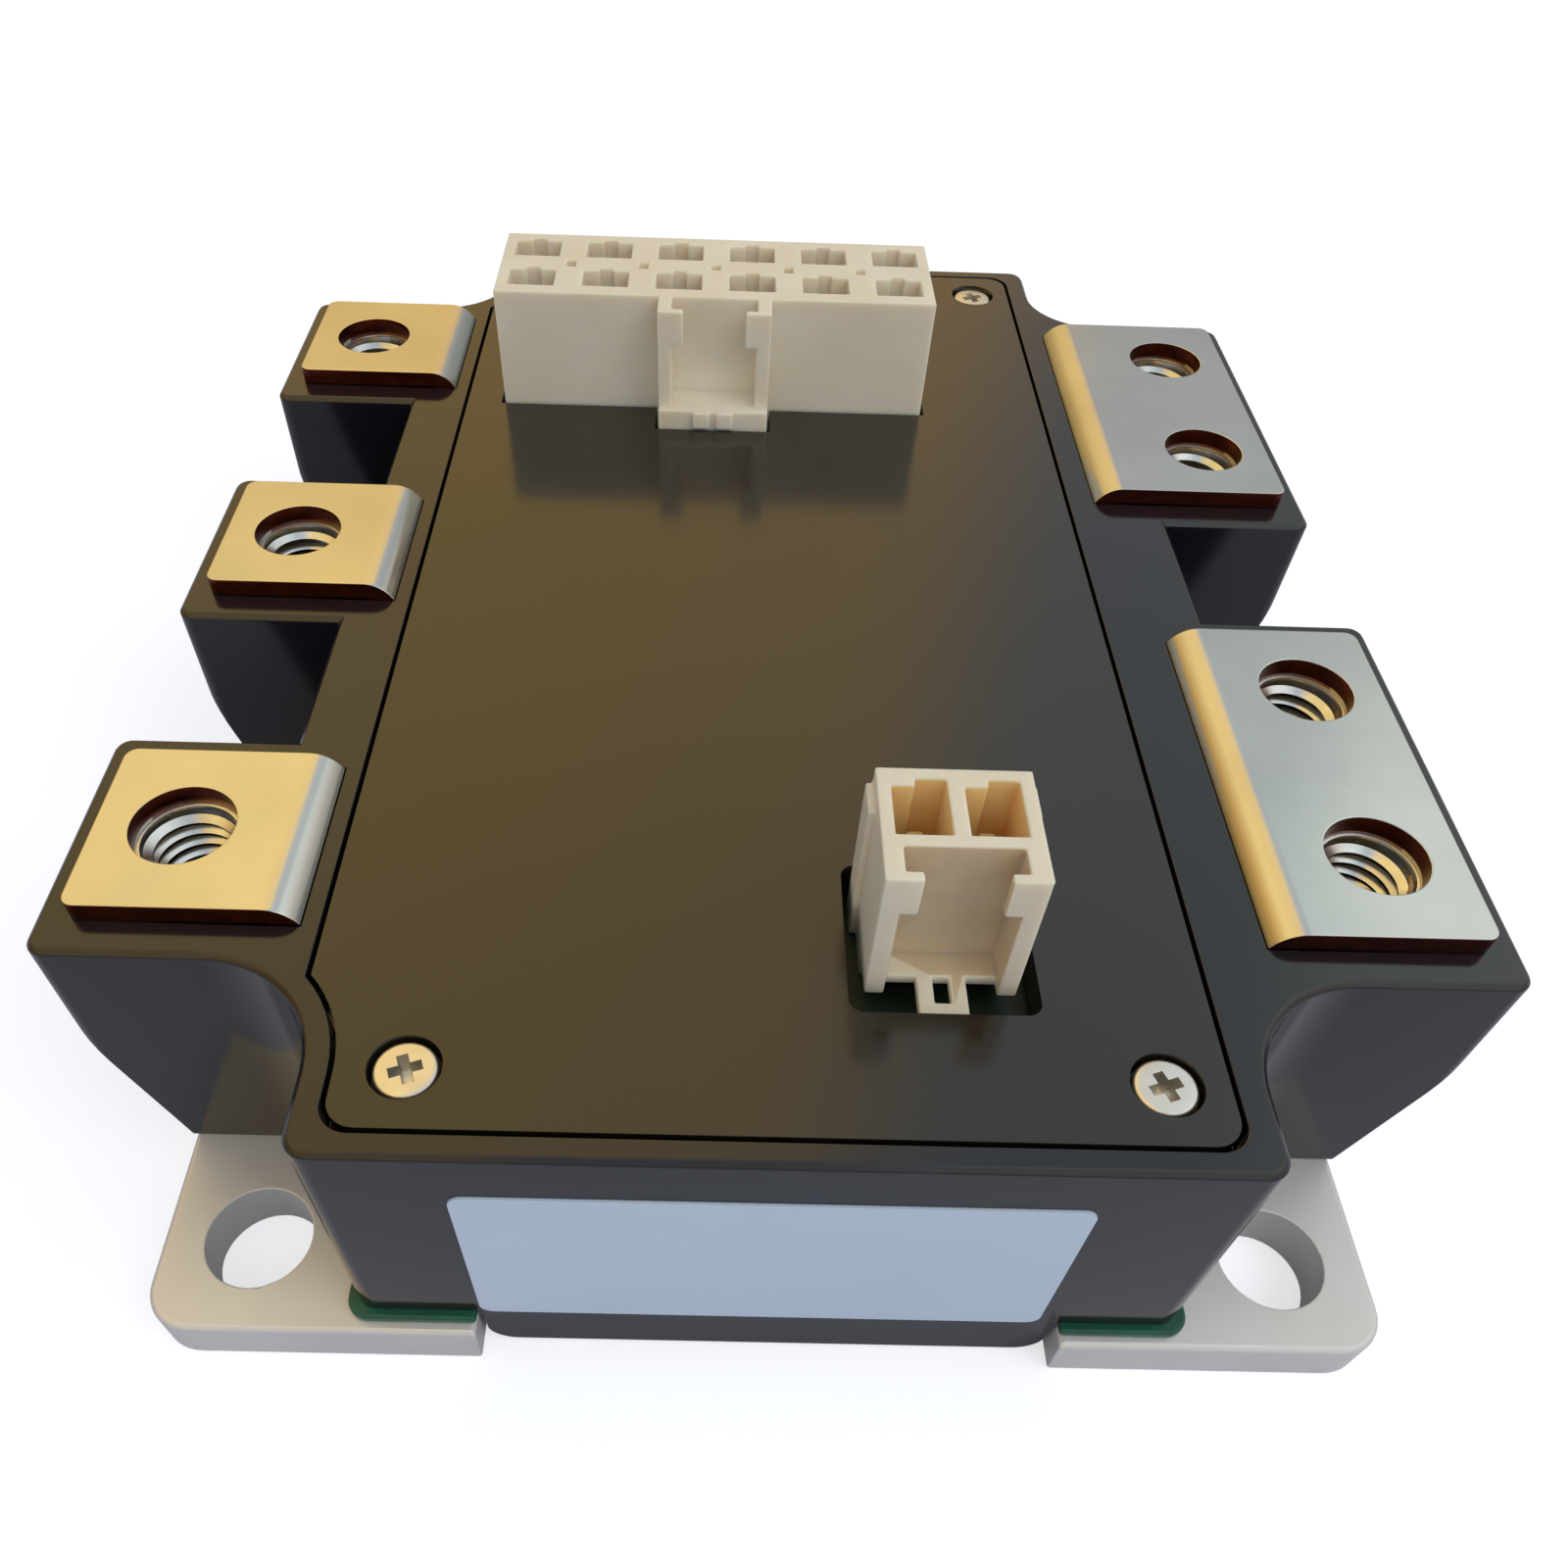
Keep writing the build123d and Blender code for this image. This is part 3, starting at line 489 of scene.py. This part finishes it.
@dataclass
class SubAssembly:
    """One group of pieces, with the helpers that all groups share."""

    nodes: dict[str, bpy.types.Object]
    wardrobe: Wardrobe
    pieces: list[bpy.types.Object] = field(default_factory=list)

    def keep(self, piece: bpy.types.Object, look: Look, slot: str, *replaced: str) -> bpy.types.Object:
        """Dresses a finished piece and ties it to the frame.

        Args:
            piece: The finished piece, its object at the origin.
            look: Its finish.
            slot: The record's material slot that it stands for; not used.
            replaced: The nodes that it stands for.

        Returns:
            The same piece.
        """
        self.wardrobe.wear(piece, look)
        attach(piece, ROOT)
        if replaced:
            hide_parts(*replaced)
        self.pieces.append(piece)
        return piece

    def named(self, start: str) -> list[str]:
        """Gives the names of the CAD nodes that begin so, in order."""
        return sorted(name for name in self.nodes if name.startswith(start))

    def merged_copy(self, node: str, name: str) -> bpy.types.Object:
        """Copies a node's mesh, with its loose triangles merged into flat faces.

        Args:
            node: The node to copy.
            name: The new piece's name.

        Returns:
            The copy, with flat shading and no material of its own yet.
        """
        piece = bpy.data.objects.new(name, self.nodes[node].data.copy())
        bpy.context.scene.collection.objects.link(piece)
        activate(piece)
        bpy.ops.mesh.customdata_custom_splitnormals_clear()
        self.merge_flat(piece)
        return piece

    @staticmethod
    def merge_flat(piece: bpy.types.Object) -> None:
        """Joins a piece's doubled corners and merges what lies in one plane.

        Args:
            piece: The piece to merge.
        """
        activate(piece)
        bpy.ops.object.mode_set(mode="EDIT")
        bpy.ops.mesh.select_all(action="SELECT")
        bpy.ops.mesh.remove_doubles(threshold=MERGE_MM * MM)
        bpy.ops.mesh.dissolve_limited(angle_limit=math.radians(PLANAR_DEG))
        bpy.ops.object.mode_set(mode="OBJECT")

    def eased_copy(self, node: str, name: str, edge_mm: float, segments: int = 2) -> bpy.types.Object:
        """Copies a node and rounds its sharp edges, as a tool or a mould leaves them.

        Args:
            node: The node to copy.
            name: The new piece's name.
            edge_mm: The width of the eased edges.
            segments: How many steps each eased edge has.

        Returns:
            The eased copy, smooth over its round faces.
        """
        return self.ease(self.merged_copy(node, name), edge_mm, segments)

    def ease(self, piece: bpy.types.Object, edge_mm: float, segments: int = 2) -> bpy.types.Object:
        """Rounds a merged piece's sharp edges, as a tool or a mould leaves them.

        Args:
            piece: The piece, with its flat faces merged.
            edge_mm: The width of the eased edges.
            segments: How many steps each eased edge has.

        Returns:
            The same piece, smooth over its round faces.
        """
        finish_with(piece, "BEVEL", width=edge_mm * MM, segments=segments, limit_method="ANGLE",
                    angle_limit=math.radians(SMOOTH_DEG), use_clamp_overlap=False,
                    face_strength_mode="FSTR_ALL")
        filled = refill_folded(piece.data)
        LOG.info("%s: %d faces filled again", piece.name, filled)
        activate(piece)
        bpy.ops.object.shade_smooth_by_angle(angle=math.radians(SMOOTH_DEG))
        finish_with(piece, "WEIGHTED_NORMAL", keep_sharp=True, use_face_influence=True)
        shade_level_faces(piece.data)
        return piece

    @staticmethod
    def settle(piece: bpy.types.Object, place: Vector, name: str) -> bpy.types.Object:
        """Moves a piece that was made at the origin to its place in its mesh.

        Args:
            piece: The piece, made at the origin.
            place: Where it goes.
            name: Its name.

        Returns:
            The piece, with its object back at the origin.
        """
        piece.data.transform(Matrix.Translation(place))
        piece.name = name
        piece.data.name = name
        return piece


@dataclass
class Casing(SubAssembly):
    """Case frame, lid, base seal and label."""

    case_edge_mm: float = 0.1
    lid_edge_mm: float = 0.03
    seal_edge_mm: float = 0.25
    seal_edge_steps: int = 3
    # The seats' depth with some to spare, how far a pocket's mouth may lie past its nut, and how far out
    # from the nut's middle it may end.
    seat_mm: float = 0.08
    pocket_spare_mm: float = 0.5
    pocket_end_mm: float = 5.2

    def build(self) -> None:
        """Builds the moulded casing pieces."""
        frame = self.merged_copy("case_frame", "moulded_case_frame")
        self.level_seats(frame)
        self.ease(frame, self.case_edge_mm)
        self.keep(frame, Look.CASE, "case_plastic", "case_frame")
        lid = self.eased_copy("lid", "moulded_lid", self.lid_edge_mm)
        self.keep(lid, Look.LID, "case_plastic", "lid")
        seal = self.eased_copy("base_seal", "adhesive_bead", self.seal_edge_mm, self.seal_edge_steps)
        self.keep(seal, Look.SEAL, "sealant", "base_seal")
        self.wardrobe.wear_node(self.nodes["label"], Look.LABEL)

    def level_seats(self, frame: bpy.types.Object) -> None:
        """Fills the shallow seats under the terminal plates, whose low rim is finer than an eased edge.

        Args:
            frame: The case frame, merged and not yet eased.
        """
        top = max(vertex.co.z for vertex in frame.data.vertices)
        for vertex in frame.data.vertices:
            if top - self.seat_mm * MM < vertex.co.z < top:
                vertex.co.z = top
        for node in self.named("nut_"):
            self.close_pocket(frame, top, *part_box(node))
        self.merge_flat(frame)

    def close_pocket(self, frame: bpy.types.Object, top: float, low: Vector, high: Vector) -> None:
        """Draws a nut pocket's outer corner in, because it would show past the plate's end.

        Args:
            frame: The case frame, with its seats level.
            top: The level of its top.
            low: The nut's lower corner.
            high: The nut's upper corner.
        """
        middle = (low + high) / 2
        side = math.copysign(1.0, middle.x)
        reach = (high.x - low.x) / 2 + self.pocket_spare_mm * MM
        limit = abs(middle.x) + self.pocket_end_mm * MM
        for vertex in frame.data.vertices:
            away = (vertex.co - middle).to_2d().length
            if vertex.co.z > top - MERGE_MM * MM and away < reach and side * vertex.co.x > limit:
                vertex.co.x = side * limit


@dataclass
class Metalwork(SubAssembly):
    """Baseplate and the five bent terminals."""

    base_edge_mm: float = 0.15
    plate_edge_mm: float = 0.14
    # How near the plate's end its sheared faces lie, and how far in and how far down those of its bores.
    end_mm: float = 0.3
    bore_reach_mm: float = 11.0
    bore_depth_mm: float = 1.3
    # How much of a normal lies along an axis where the face looks that way.
    facing: float = 0.5

    def build(self) -> None:
        """Builds the plated metal pieces."""
        base = self.eased_copy("baseplate", "plated_baseplate", self.base_edge_mm)
        self.keep(base, Look.BASE, "plated_copper", "baseplate")
        for letter in "uvwpn":
            node = "terminal_" + letter
            plate = self.eased_copy(node, "bent_" + node, self.plate_edge_mm)
            self.keep(plate, Look.TERMINAL, "terminal_plate", node)
            low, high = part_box(node)
            self.wardrobe.wear_also(plate, Look.SHEARED, partial(self.is_sheared, low, high))

    def is_sheared(self, low: Vector, high: Vector, face: bpy.types.MeshPolygon) -> bool:
        """Tells a sheared face of a plate, at a side, the end or a bore, from a rolled one.

        Args:
            low: The terminal's lower corner.
            high: The terminal's upper corner.
            face: The face to test.

        Returns:
            True for a sheared face.
        """
        from_end = max(abs(low.x), abs(high.x)) - abs(face.center.x)
        from_top = high.z - face.center.z
        in_bore = from_end < self.bore_reach_mm * MM and from_top < self.bore_depth_mm * MM
        upright = abs(face.normal.z) < self.facing
        return abs(face.normal.y) > self.facing or upright and (from_end < self.end_mm * MM or in_bore)


@dataclass
class Fasteners(SubAssembly):
    """Captive nuts with cut threads, and the four lid screws."""

    thread_major_mm: float = 3.0
    thread_minor_mm: float = 2.5
    thread_pitch_mm: float = 1.0
    thread_steps: int = 40
    # Half the ridge's foot and half its crest as shares of the pitch, how deep the foot is sunk in the
    # bore's wall, and over how many turns the ridge runs out.
    thread_root: float = 0.46
    thread_crest: float = 0.1
    thread_bury_mm: float = 0.02
    fade_turns: float = 0.35
    nut_edge_mm: float = 0.3
    nut_edge_steps: int = 2
    cut_spare_mm: float = 1.0
    head_height_mm: float = 1.3
    head_dome_mm: float = 0.3
    head_steps: int = 48
    dome_steps: int = 5
    shank_radius_mm: float = 1.05
    shank_steps: int = 24
    slot_turn_deg: float = 20.0
    slot_width_mm: float = 0.9
    slot_span_mm: float = 2.6
    slot_depth_mm: float = 1.15
    slot_taper: float = 0.5
    # How much of a normal points up where the face is the head's top.
    upward: float = 0.9

    def build(self) -> None:
        """Builds every nut and screw."""
        for node in self.named("nut_"):
            self.keep(self.nut(node), Look.NUT, "steel_fastener", node)
        for node in self.named("lid_screw_"):
            self.keep(self.screw(node), Look.SCREW, "steel_fastener", node)

    def nut(self, node: str) -> bpy.types.Object:
        """One nut: hexagon body, bored to the thread's major radius, with the thread's turns in it.

        Args:
            node: The CAD nut that it stands for.

        Returns:
            The nut in its place.
        """
        low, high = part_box(node)
        height = high.z - low.z
        clear_selection()
        bpy.ops.mesh.primitive_cylinder_add(vertices=HEXAGON, radius=(high.x - low.x) / 2, depth=height,
                                            rotation=(0, 0, math.pi / HEXAGON))
        body = bpy.context.object
        bpy.ops.object.transform_apply(location=False, rotation=True, scale=False)
        self.bore(body, self.thread_major_mm * MM, height)
        finish_with(body, "BEVEL", width=self.nut_edge_mm * MM, segments=self.nut_edge_steps,
                    limit_method="ANGLE", angle_limit=math.radians(SMOOTH_DEG), use_clamp_overlap=True)
        thread = self.thread(height)
        activate(body)
        thread.select_set(True)
        bpy.ops.object.join()
        bpy.ops.object.shade_smooth_by_angle(angle=math.radians(SMOOTH_DEG))
        return self.settle(body, (low + high) / 2, "threaded_" + node)

    def bore(self, body: bpy.types.Object, radius: float, height: float) -> None:
        """Bores a body along Z with a plain drill.

        Args:
            body: The body to bore, centred on the origin.
            radius: The drill's radius.
            height: The body's height.
        """
        clear_selection()
        bpy.ops.mesh.primitive_cylinder_add(vertices=self.thread_steps, radius=radius,
                                            depth=height + 2 * self.cut_spare_mm * MM)
        drill = bpy.context.object
        finish_with(body, "BOOLEAN", operation="DIFFERENCE", object=drill, solver="EXACT")
        bpy.data.objects.remove(drill)

    def thread(self, height: float) -> bpy.types.Object:
        """The thread's ridge, turned up the bore from a tapered profile.

        Args:
            height: The bore's length.

        Returns:
            The closed ridge, centred on the origin.
        """
        major, minor = self.thread_major_mm * MM, self.thread_minor_mm * MM
        pitch = self.thread_pitch_mm * MM
        root, crest = pitch * self.thread_root, pitch * self.thread_crest
        outer = major + self.thread_bury_mm * MM
        turns = int((height - 2 * root) / pitch)
        start = -turns * pitch / 2
        clear_selection()
        bpy.ops.mesh.primitive_plane_add(size=1)
        ridge = bpy.context.object
        corners = [(outer, start - root), (outer, start + root),
                   (minor, start + crest), (minor, start - crest)]
        for vertex, (x, z) in zip(self.loop_order(ridge), corners):
            vertex.co = (x, 0, z)
        finish_with(ridge, "SCREW", axis="Z", screw_offset=turns * pitch, angle=turns * math.tau,
                    steps=turns * self.thread_steps, render_steps=turns * self.thread_steps,
                    use_merge_vertices=False)
        for vertex in ridge.data.vertices:
            turned = (vertex.co.z - start) / pitch
            share = max(0.0, min(1.0, turned / self.fade_turns, (turns - turned) / self.fade_turns))
            radius = Vector((vertex.co.x, vertex.co.y)).length
            wanted = major + (radius - major) * share
            vertex.co.x *= wanted / radius
            vertex.co.y *= wanted / radius
        activate(ridge)
        bpy.ops.object.mode_set(mode="EDIT")
        bpy.ops.mesh.select_all(action="SELECT")
        bpy.ops.mesh.remove_doubles(threshold=MERGE_MM * MM)
        bpy.ops.mesh.fill_holes(sides=0)
        bpy.ops.mesh.normals_make_consistent(inside=False)
        bpy.ops.object.mode_set(mode="OBJECT")
        return ridge

    @staticmethod
    def loop_order(piece: bpy.types.Object) -> list[bpy.types.MeshVertex]:
        """The corners of a one-face piece in order round the face."""
        return [piece.data.vertices[index] for index in piece.data.polygons[0].vertices]

    def screw(self, node: str) -> bpy.types.Object:
        """One lid screw: domed pan head with a tapered cross recess, on its shank.

        Args:
            node: The CAD screw that it stands for.

        Returns:
            The screw in its place.
        """
        low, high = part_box(node)
        middle = Vector(((low.x + high.x) / 2, (low.y + high.y) / 2, 0))
        radius = (high.x - low.x) / 2
        head_height = self.head_height_mm * MM
        clear_selection()
        bpy.ops.mesh.primitive_cylinder_add(vertices=self.head_steps, radius=radius, depth=head_height)
        head = bpy.context.object
        select_faces(head, lambda face: face.normal.z > self.upward)
        bpy.ops.object.mode_set(mode="EDIT")
        bpy.ops.mesh.bevel(offset=self.head_dome_mm * MM, segments=self.dome_steps, profile=0.5)
        bpy.ops.object.mode_set(mode="OBJECT")
        self.cut_cross(head, head_height / 2)
        activate(head)
        bpy.ops.object.shade_smooth_by_angle(angle=math.radians(SMOOTH_DEG))
        clear_selection()
        shank = (high.z - low.z) - head_height
        bpy.ops.mesh.primitive_cylinder_add(vertices=self.shank_steps, radius=self.shank_radius_mm * MM,
                                            depth=shank, location=(0, 0, -(head_height + shank) / 2))
        stem = bpy.context.object
        bpy.ops.object.transform_apply(location=True, rotation=False, scale=False)
        activate(head)
        stem.select_set(True)
        bpy.ops.object.join()
        middle.z = high.z - head_height / 2
        return self.settle(head, middle, "pan_head_" + node)

    def cut_cross(self, head: bpy.types.Object, top: float) -> None:
        """Cuts the cross recess into a head, from two bars that narrow as they go down.

        Args:
            head: The head, centred on the origin.
            top: The level of its top face.
        """
        for arm_deg in (0, 90):
            clear_selection()
            bpy.ops.mesh.primitive_cube_add(size=1)
            bar = bpy.context.object
            turn = math.radians(self.slot_turn_deg + arm_deg)
            for vertex in bar.data.vertices:
                narrow = self.slot_taper if vertex.co.z < 0 else 1.0
                vertex.co.x *= self.slot_span_mm * MM * narrow
                vertex.co.y *= self.slot_width_mm * MM * narrow
                vertex.co.z *= 2 * self.slot_depth_mm * MM
            bar.data.transform(Matrix.Translation((0, 0, top)) @ Matrix.Rotation(turn, 4, "Z"))
            finish_with(head, "BOOLEAN", operation="DIFFERENCE", object=bar, solver="EXACT")
            bpy.data.objects.remove(bar)


@dataclass
class Connectors(SubAssembly):
    """Control board, both headers and their pins."""

    header_edge_mm: float = 0.16
    # A face can take the guide's painted shade and the cavity's painted glow only this far below the rim
    # and above the foot. The look to each side starts clear of the face and reaches across the header.
    rim_mm: float = 0.5
    foot_mm: float = 2.5
    clear_mm: float = 0.05
    wall_reach_mm: float = 7.5
    guide_shade_sides: tuple[Triple, ...] = ((1, 0, 0), (-1, 0, 0), (0, 1, 0))
    cavity_glow_sides: tuple[Triple, ...] = ((1, 0, 0), (-1, 0, 0), (0, 1, 0), (0, -1, 0))

    def build(self) -> None:
        """Builds the headers and dresses the board."""
        for node in ("signal_header", "sensor_header"):
            header = self.eased_copy(node, "moulded_" + node, self.header_edge_mm)
            self.keep(header, Look.HEADER, "header_plastic", node)
            if node == "sensor_header":
                low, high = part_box(node)
                levels = low.z + self.foot_mm * MM, high.z - self.rim_mm * MM
                inside = partial(self.is_enclosed, header, levels)
                # The guide's inner wall wears a darker, warmer nylon: painted shade of the channel.
                self.wardrobe.wear_also(header, Look.GUIDE, partial(inside, self.guide_shade_sides))
                # Deep in the cavities the nylon wears a bright amber tone: painted glow of light that
                # has soaked through.
                self.wardrobe.wear_also(header, Look.CAVITY, partial(inside, self.cavity_glow_sides))
        self.wardrobe.wear_node(self.nodes["control_board"], Look.BOARD)
        for node in ("signal_pins", "sensor_pins", "lead_pins"):
            self.wardrobe.wear_node(self.nodes[node], Look.PIN)

    def is_enclosed(self, header: bpy.types.Object, levels: tuple[float, float],
                    sides: tuple[Triple, ...], face: bpy.types.MeshPolygon) -> bool:
        """Tells a face that has the header's own walls close by on each of the given sides.

        Args:
            header: The header, which stands at the origin.
            levels: The heights between which a face has to lie.
            sides: The directions to look in.
            face: The face to test.

        Returns:
            True where every direction meets a wall.
        """
        start = face.center + face.normal * self.clear_mm * MM
        return levels[0] < face.center.z < levels[1] and all(
            header.ray_cast(start, Vector(side), distance=self.wall_reach_mm * MM)[0] for side in sides)


@dataclass
class PowerStage(SubAssembly):
    """What lies under the lid: tiles, copper, chips, wires and gel."""

    def build(self) -> None:
        """Dresses the nodes of the power stage, which keep their CAD shapes."""
        looks = {"substrate": Look.CERAMIC, "copper_tracks": Look.COPPER, "mosfet_chips": Look.CHIP,
                 "bond_wires": Look.WIRE, "lead_wires": Look.WIRE}
        for letter in "uvw":
            for name, look in looks.items():
                self.wardrobe.wear_node(self.nodes[name + "_" + letter], look)
        self.wardrobe.wear_node(self.nodes["base_solder"], Look.SOLDER)
        self.wardrobe.wear_node(self.nodes["thermistor"], Look.CHIP)
        self.wardrobe.wear_node(self.nodes["silicone_gel"], Look.GEL)


@dataclass
class Studio:
    """Camera, floor, lamps and surroundings."""

    camera_mm: Triple = (-4.649, -85.078, 85.815)
    camera_deg: Triple = (39.2404, -1.4766, 0.6414)
    sensor_mm: float = 36.0
    lens_mm: float = 28.637
    clip_mm: float = 1.0
    shift: tuple[float, float] = (0.03781, 0.08065)
    floor_mm: float = 4000.0
    floor_colour: str = "d0d3de"
    # What the floor adds to its own light for the camera, so that it shows white.
    floor_lift: float = 0.61
    key_watts: float = 0.45
    key_mm: float = 260.0
    key_place_mm: Triple = (280.0, -200.0, 400.0)
    # The even light, by how much it is stronger on the right, and its tints in front and behind.
    fill_light: float = 0.62
    fill_lean: float = 0.25
    front_tint: Triple = (1.0, 1.05, 1.14)
    back_tint: Triple = (1.0, 0.97, 0.90)
    tint_span: tuple[float, float] = (-0.8, 0.5)
    # What the gloss shows, turned a little from the object's own left and right.
    room_light: float = 1.6
    side_deg: float = 12.5
    # From the far left to the far right: lamplight, then daylight.
    side_stops: tuple[tuple[float, Triple], ...] = (
        (0.0, (0.85, 0.52, 0.15)), (0.25, (0.95, 0.69, 0.28)), (0.33, (0.95, 0.67, 0.26)),
        (0.47, (0.90, 0.65, 0.31)), (0.545, (0.46, 0.50, 0.53)), (0.63, (0.46, 0.51, 0.51)),
        (0.67, (0.68, 0.73, 0.71)), (0.78, (0.78, 0.80, 0.78)), (1.0, (0.84, 0.77, 0.73)))
    # From the horizon to overhead: a dimmer rim below, brightest two thirds up.
    level_stops: tuple[tuple[float, Triple], ...] = (
        (0.05, (0.42, 0.41, 0.40)), (0.26, (0.56, 0.52, 0.50)), (0.37, (0.71, 0.65, 0.62)),
        (0.43, (0.76, 0.71, 0.69)), (0.54, (0.84, 0.82, 0.82)), (0.66, (0.96, 0.96, 0.96)),
        (1.0, (0.88, 0.92, 1.0)))

    def build(self) -> None:
        """Sets up everything round the object."""
        self.camera()
        self.floor()
        self.lamp()
        self.surroundings()
        bpy.context.scene.view_settings.view_transform = "Standard"

    def camera(self) -> None:
        """The camera at the photograph's viewing place."""
        data = bpy.data.cameras.new("photo_camera")
        data.sensor_width = self.sensor_mm
        data.lens = self.lens_mm
        data.shift_x, data.shift_y = self.shift
        data.clip_start = self.clip_mm * MM
        camera = bpy.data.objects.new("photo_camera", data)
        camera.location = Vector(self.camera_mm) * MM
        camera.rotation_euler = Euler([math.radians(a) for a in self.camera_deg], "XYZ")
        bpy.context.scene.collection.objects.link(camera)
        bpy.context.scene.camera = camera

    def floor(self) -> None:
        """A plain pale floor, white to the camera, that keeps the object's soft shadow."""
        clear_selection()
        bpy.ops.mesh.primitive_plane_add(size=self.floor_mm * MM)
        floor = bpy.context.object
        floor.name = "floor"
        material = bpy.data.materials.new("pale_floor")
        material.use_nodes = True
        tree = material.node_tree
        tree.nodes.clear()
        path = add_node(tree, "ShaderNodeLightPath")
        lift = add_node(tree, "ShaderNodeMath", {1: self.floor_lift}, {0: path.outputs["Is Camera Ray"]},
                        operation="MULTIPLY")
        glow = add_node(tree, "ShaderNodeEmission", links={"Strength": lift.outputs[0]})
        paint = add_node(tree, "ShaderNodeBsdfDiffuse", {"Color": linear(self.floor_colour)})
        both = add_node(tree, "ShaderNodeAddShader", links={0: paint.outputs[0], 1: glow.outputs[0]})
        add_node(tree, "ShaderNodeOutputMaterial", links={"Surface": both.outputs[0]})
        floor.data.materials.append(material)

    def lamp(self) -> None:
        """One large soft lamp from the front right, unseen in the gloss."""
        data = bpy.data.lights.new("key", "AREA")
        data.energy = self.key_watts
        data.size = self.key_mm * MM
        lamp = bpy.data.objects.new("key", data)
        lamp.location = Vector(self.key_place_mm) * MM
        lamp.rotation_euler = (-lamp.location).to_track_quat("-Z", "Y").to_euler()
        lamp.visible_glossy = False
        bpy.context.scene.collection.objects.link(lamp)

    def surroundings(self) -> None:
        """A room of even light, which gloss sees as warm on the left, and the camera as white."""
        world = bpy.data.worlds.new("room")
        bpy.context.scene.world = world
        world.use_nodes = True
        world.cycles.sampling_method = "NONE"
        tree = world.node_tree
        tree.nodes.clear()
        direction = add_node(tree, "ShaderNodeTexCoord").outputs["Generated"]
        axes = add_node(tree, "ShaderNodeSeparateXYZ", links={0: direction})
        white = add_node(tree, "ShaderNodeBackground", {"Color": (1, 1, 1, 1), "Strength": 1.0})
        path = add_node(tree, "ShaderNodeLightPath")
        lit = add_node(tree, "ShaderNodeMixShader",
                       links={0: path.outputs["Is Glossy Ray"], 1: self.even_light(tree, axes),
                              2: self.gloss_light(tree, axes, direction)})
        seen = add_node(tree, "ShaderNodeMixShader",
                        links={0: path.outputs["Is Camera Ray"], 1: lit.outputs[0], 2: white.outputs[0]})
        add_node(tree, "ShaderNodeOutputWorld", links={"Surface": seen.outputs[0]})

    def even_light(self, tree: bpy.types.NodeTree, axes: bpy.types.Node) -> bpy.types.NodeSocket:
        """The light on matt surfaces: near white, cooler in front, and stronger on the right.

        Args:
            tree: The world's node tree.
            axes: The node that splits the direction.

        Returns:
            The light's socket.
        """
        facing = add_node(tree, "ShaderNodeMapRange",
                          {"From Min": self.tint_span[0], "From Max": self.tint_span[1]},
                          {"Value": axes.outputs["Y"]})
        tint = add_node(tree, "ShaderNodeMix",
                        {"A": (*self.front_tint, 1.0), "B": (*self.back_tint, 1.0)},
                        {"Factor": facing.outputs[0]}, data_type="RGBA")
        lean = add_node(tree, "ShaderNodeMapRange",
                        {"From Min": -1.0, "From Max": 1.0,
                         "To Min": self.fill_light * (1 - self.fill_lean),
                         "To Max": self.fill_light * (1 + self.fill_lean)},
                        {"Value": axes.outputs["X"]})
        even = add_node(tree, "ShaderNodeBackground",
                        links={"Color": tint.outputs["Result"], "Strength": lean.outputs[0]})
        return even.outputs[0]

    def gloss_light(self, tree: bpy.types.NodeTree, axes: bpy.types.Node,
                    direction: bpy.types.NodeSocket) -> bpy.types.NodeSocket:
        """The room as gloss shows it: lamplight on the left and daylight on the right.

        Args:
            tree: The world's node tree.
            axes: The node that splits the direction.
            direction: The direction's socket.

        Returns:
            The light's socket.
        """
        angle = math.radians(self.side_deg)
        across = add_node(tree, "ShaderNodeVectorMath", {1: (math.cos(angle), -math.sin(angle), 0.0)},
                          {0: direction}, operation="DOT_PRODUCT")
        share = add_node(tree, "ShaderNodeMapRange", {"From Min": -1.0, "From Max": 1.0},
                         {"Value": across.outputs["Value"]})
        side = add_node(tree, "ShaderNodeValToRGB", links={"Fac": share.outputs[0]})
        self.fill_ramp(side, self.side_stops)
        level = add_node(tree, "ShaderNodeValToRGB", links={"Fac": axes.outputs["Z"]})
        self.fill_ramp(level, self.level_stops)
        both = add_node(tree, "ShaderNodeMix", {"Factor": 1.0},
                        {"A": side.outputs[0], "B": level.outputs[0]},
                        data_type="RGBA", blend_type="MULTIPLY")
        room = add_node(tree, "ShaderNodeBackground", {"Strength": self.room_light},
                        {"Color": both.outputs["Result"]})
        return room.outputs[0]

    @staticmethod
    def fill_ramp(node: bpy.types.Node, stops: tuple[tuple[float, Triple], ...]) -> None:
        """Gives a colour ramp its stops.

        Args:
            node: The ramp's node.
            stops: Each stop's place from 0 to 1 and its linear colour.
        """
        node.color_ramp.interpolation = "EASE"
        halfway = 0.5
        while len(node.color_ramp.elements) < len(stops):
            node.color_ramp.elements.new(halfway)
        for element, (place, colour) in zip(node.color_ramp.elements, stops):
            element.position = place
            element.color = (*colour, 1.0)


def main() -> None:
    """Dresses the whole module and sets up the studio."""
    logging.basicConfig(level=logging.INFO, format="%(name)s: %(message)s")
    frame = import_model()
    wardrobe = Wardrobe()
    for group in (Casing, Metalwork, Fasteners, Connectors, PowerStage):
        assembly = group(frame["nodes"], wardrobe)
        assembly.build()
        for piece in assembly.pieces:
            LOG.info("%s: %d faces", piece.name, len(piece.data.polygons))
    Studio().build()


if __name__ == "__main__":
    main()
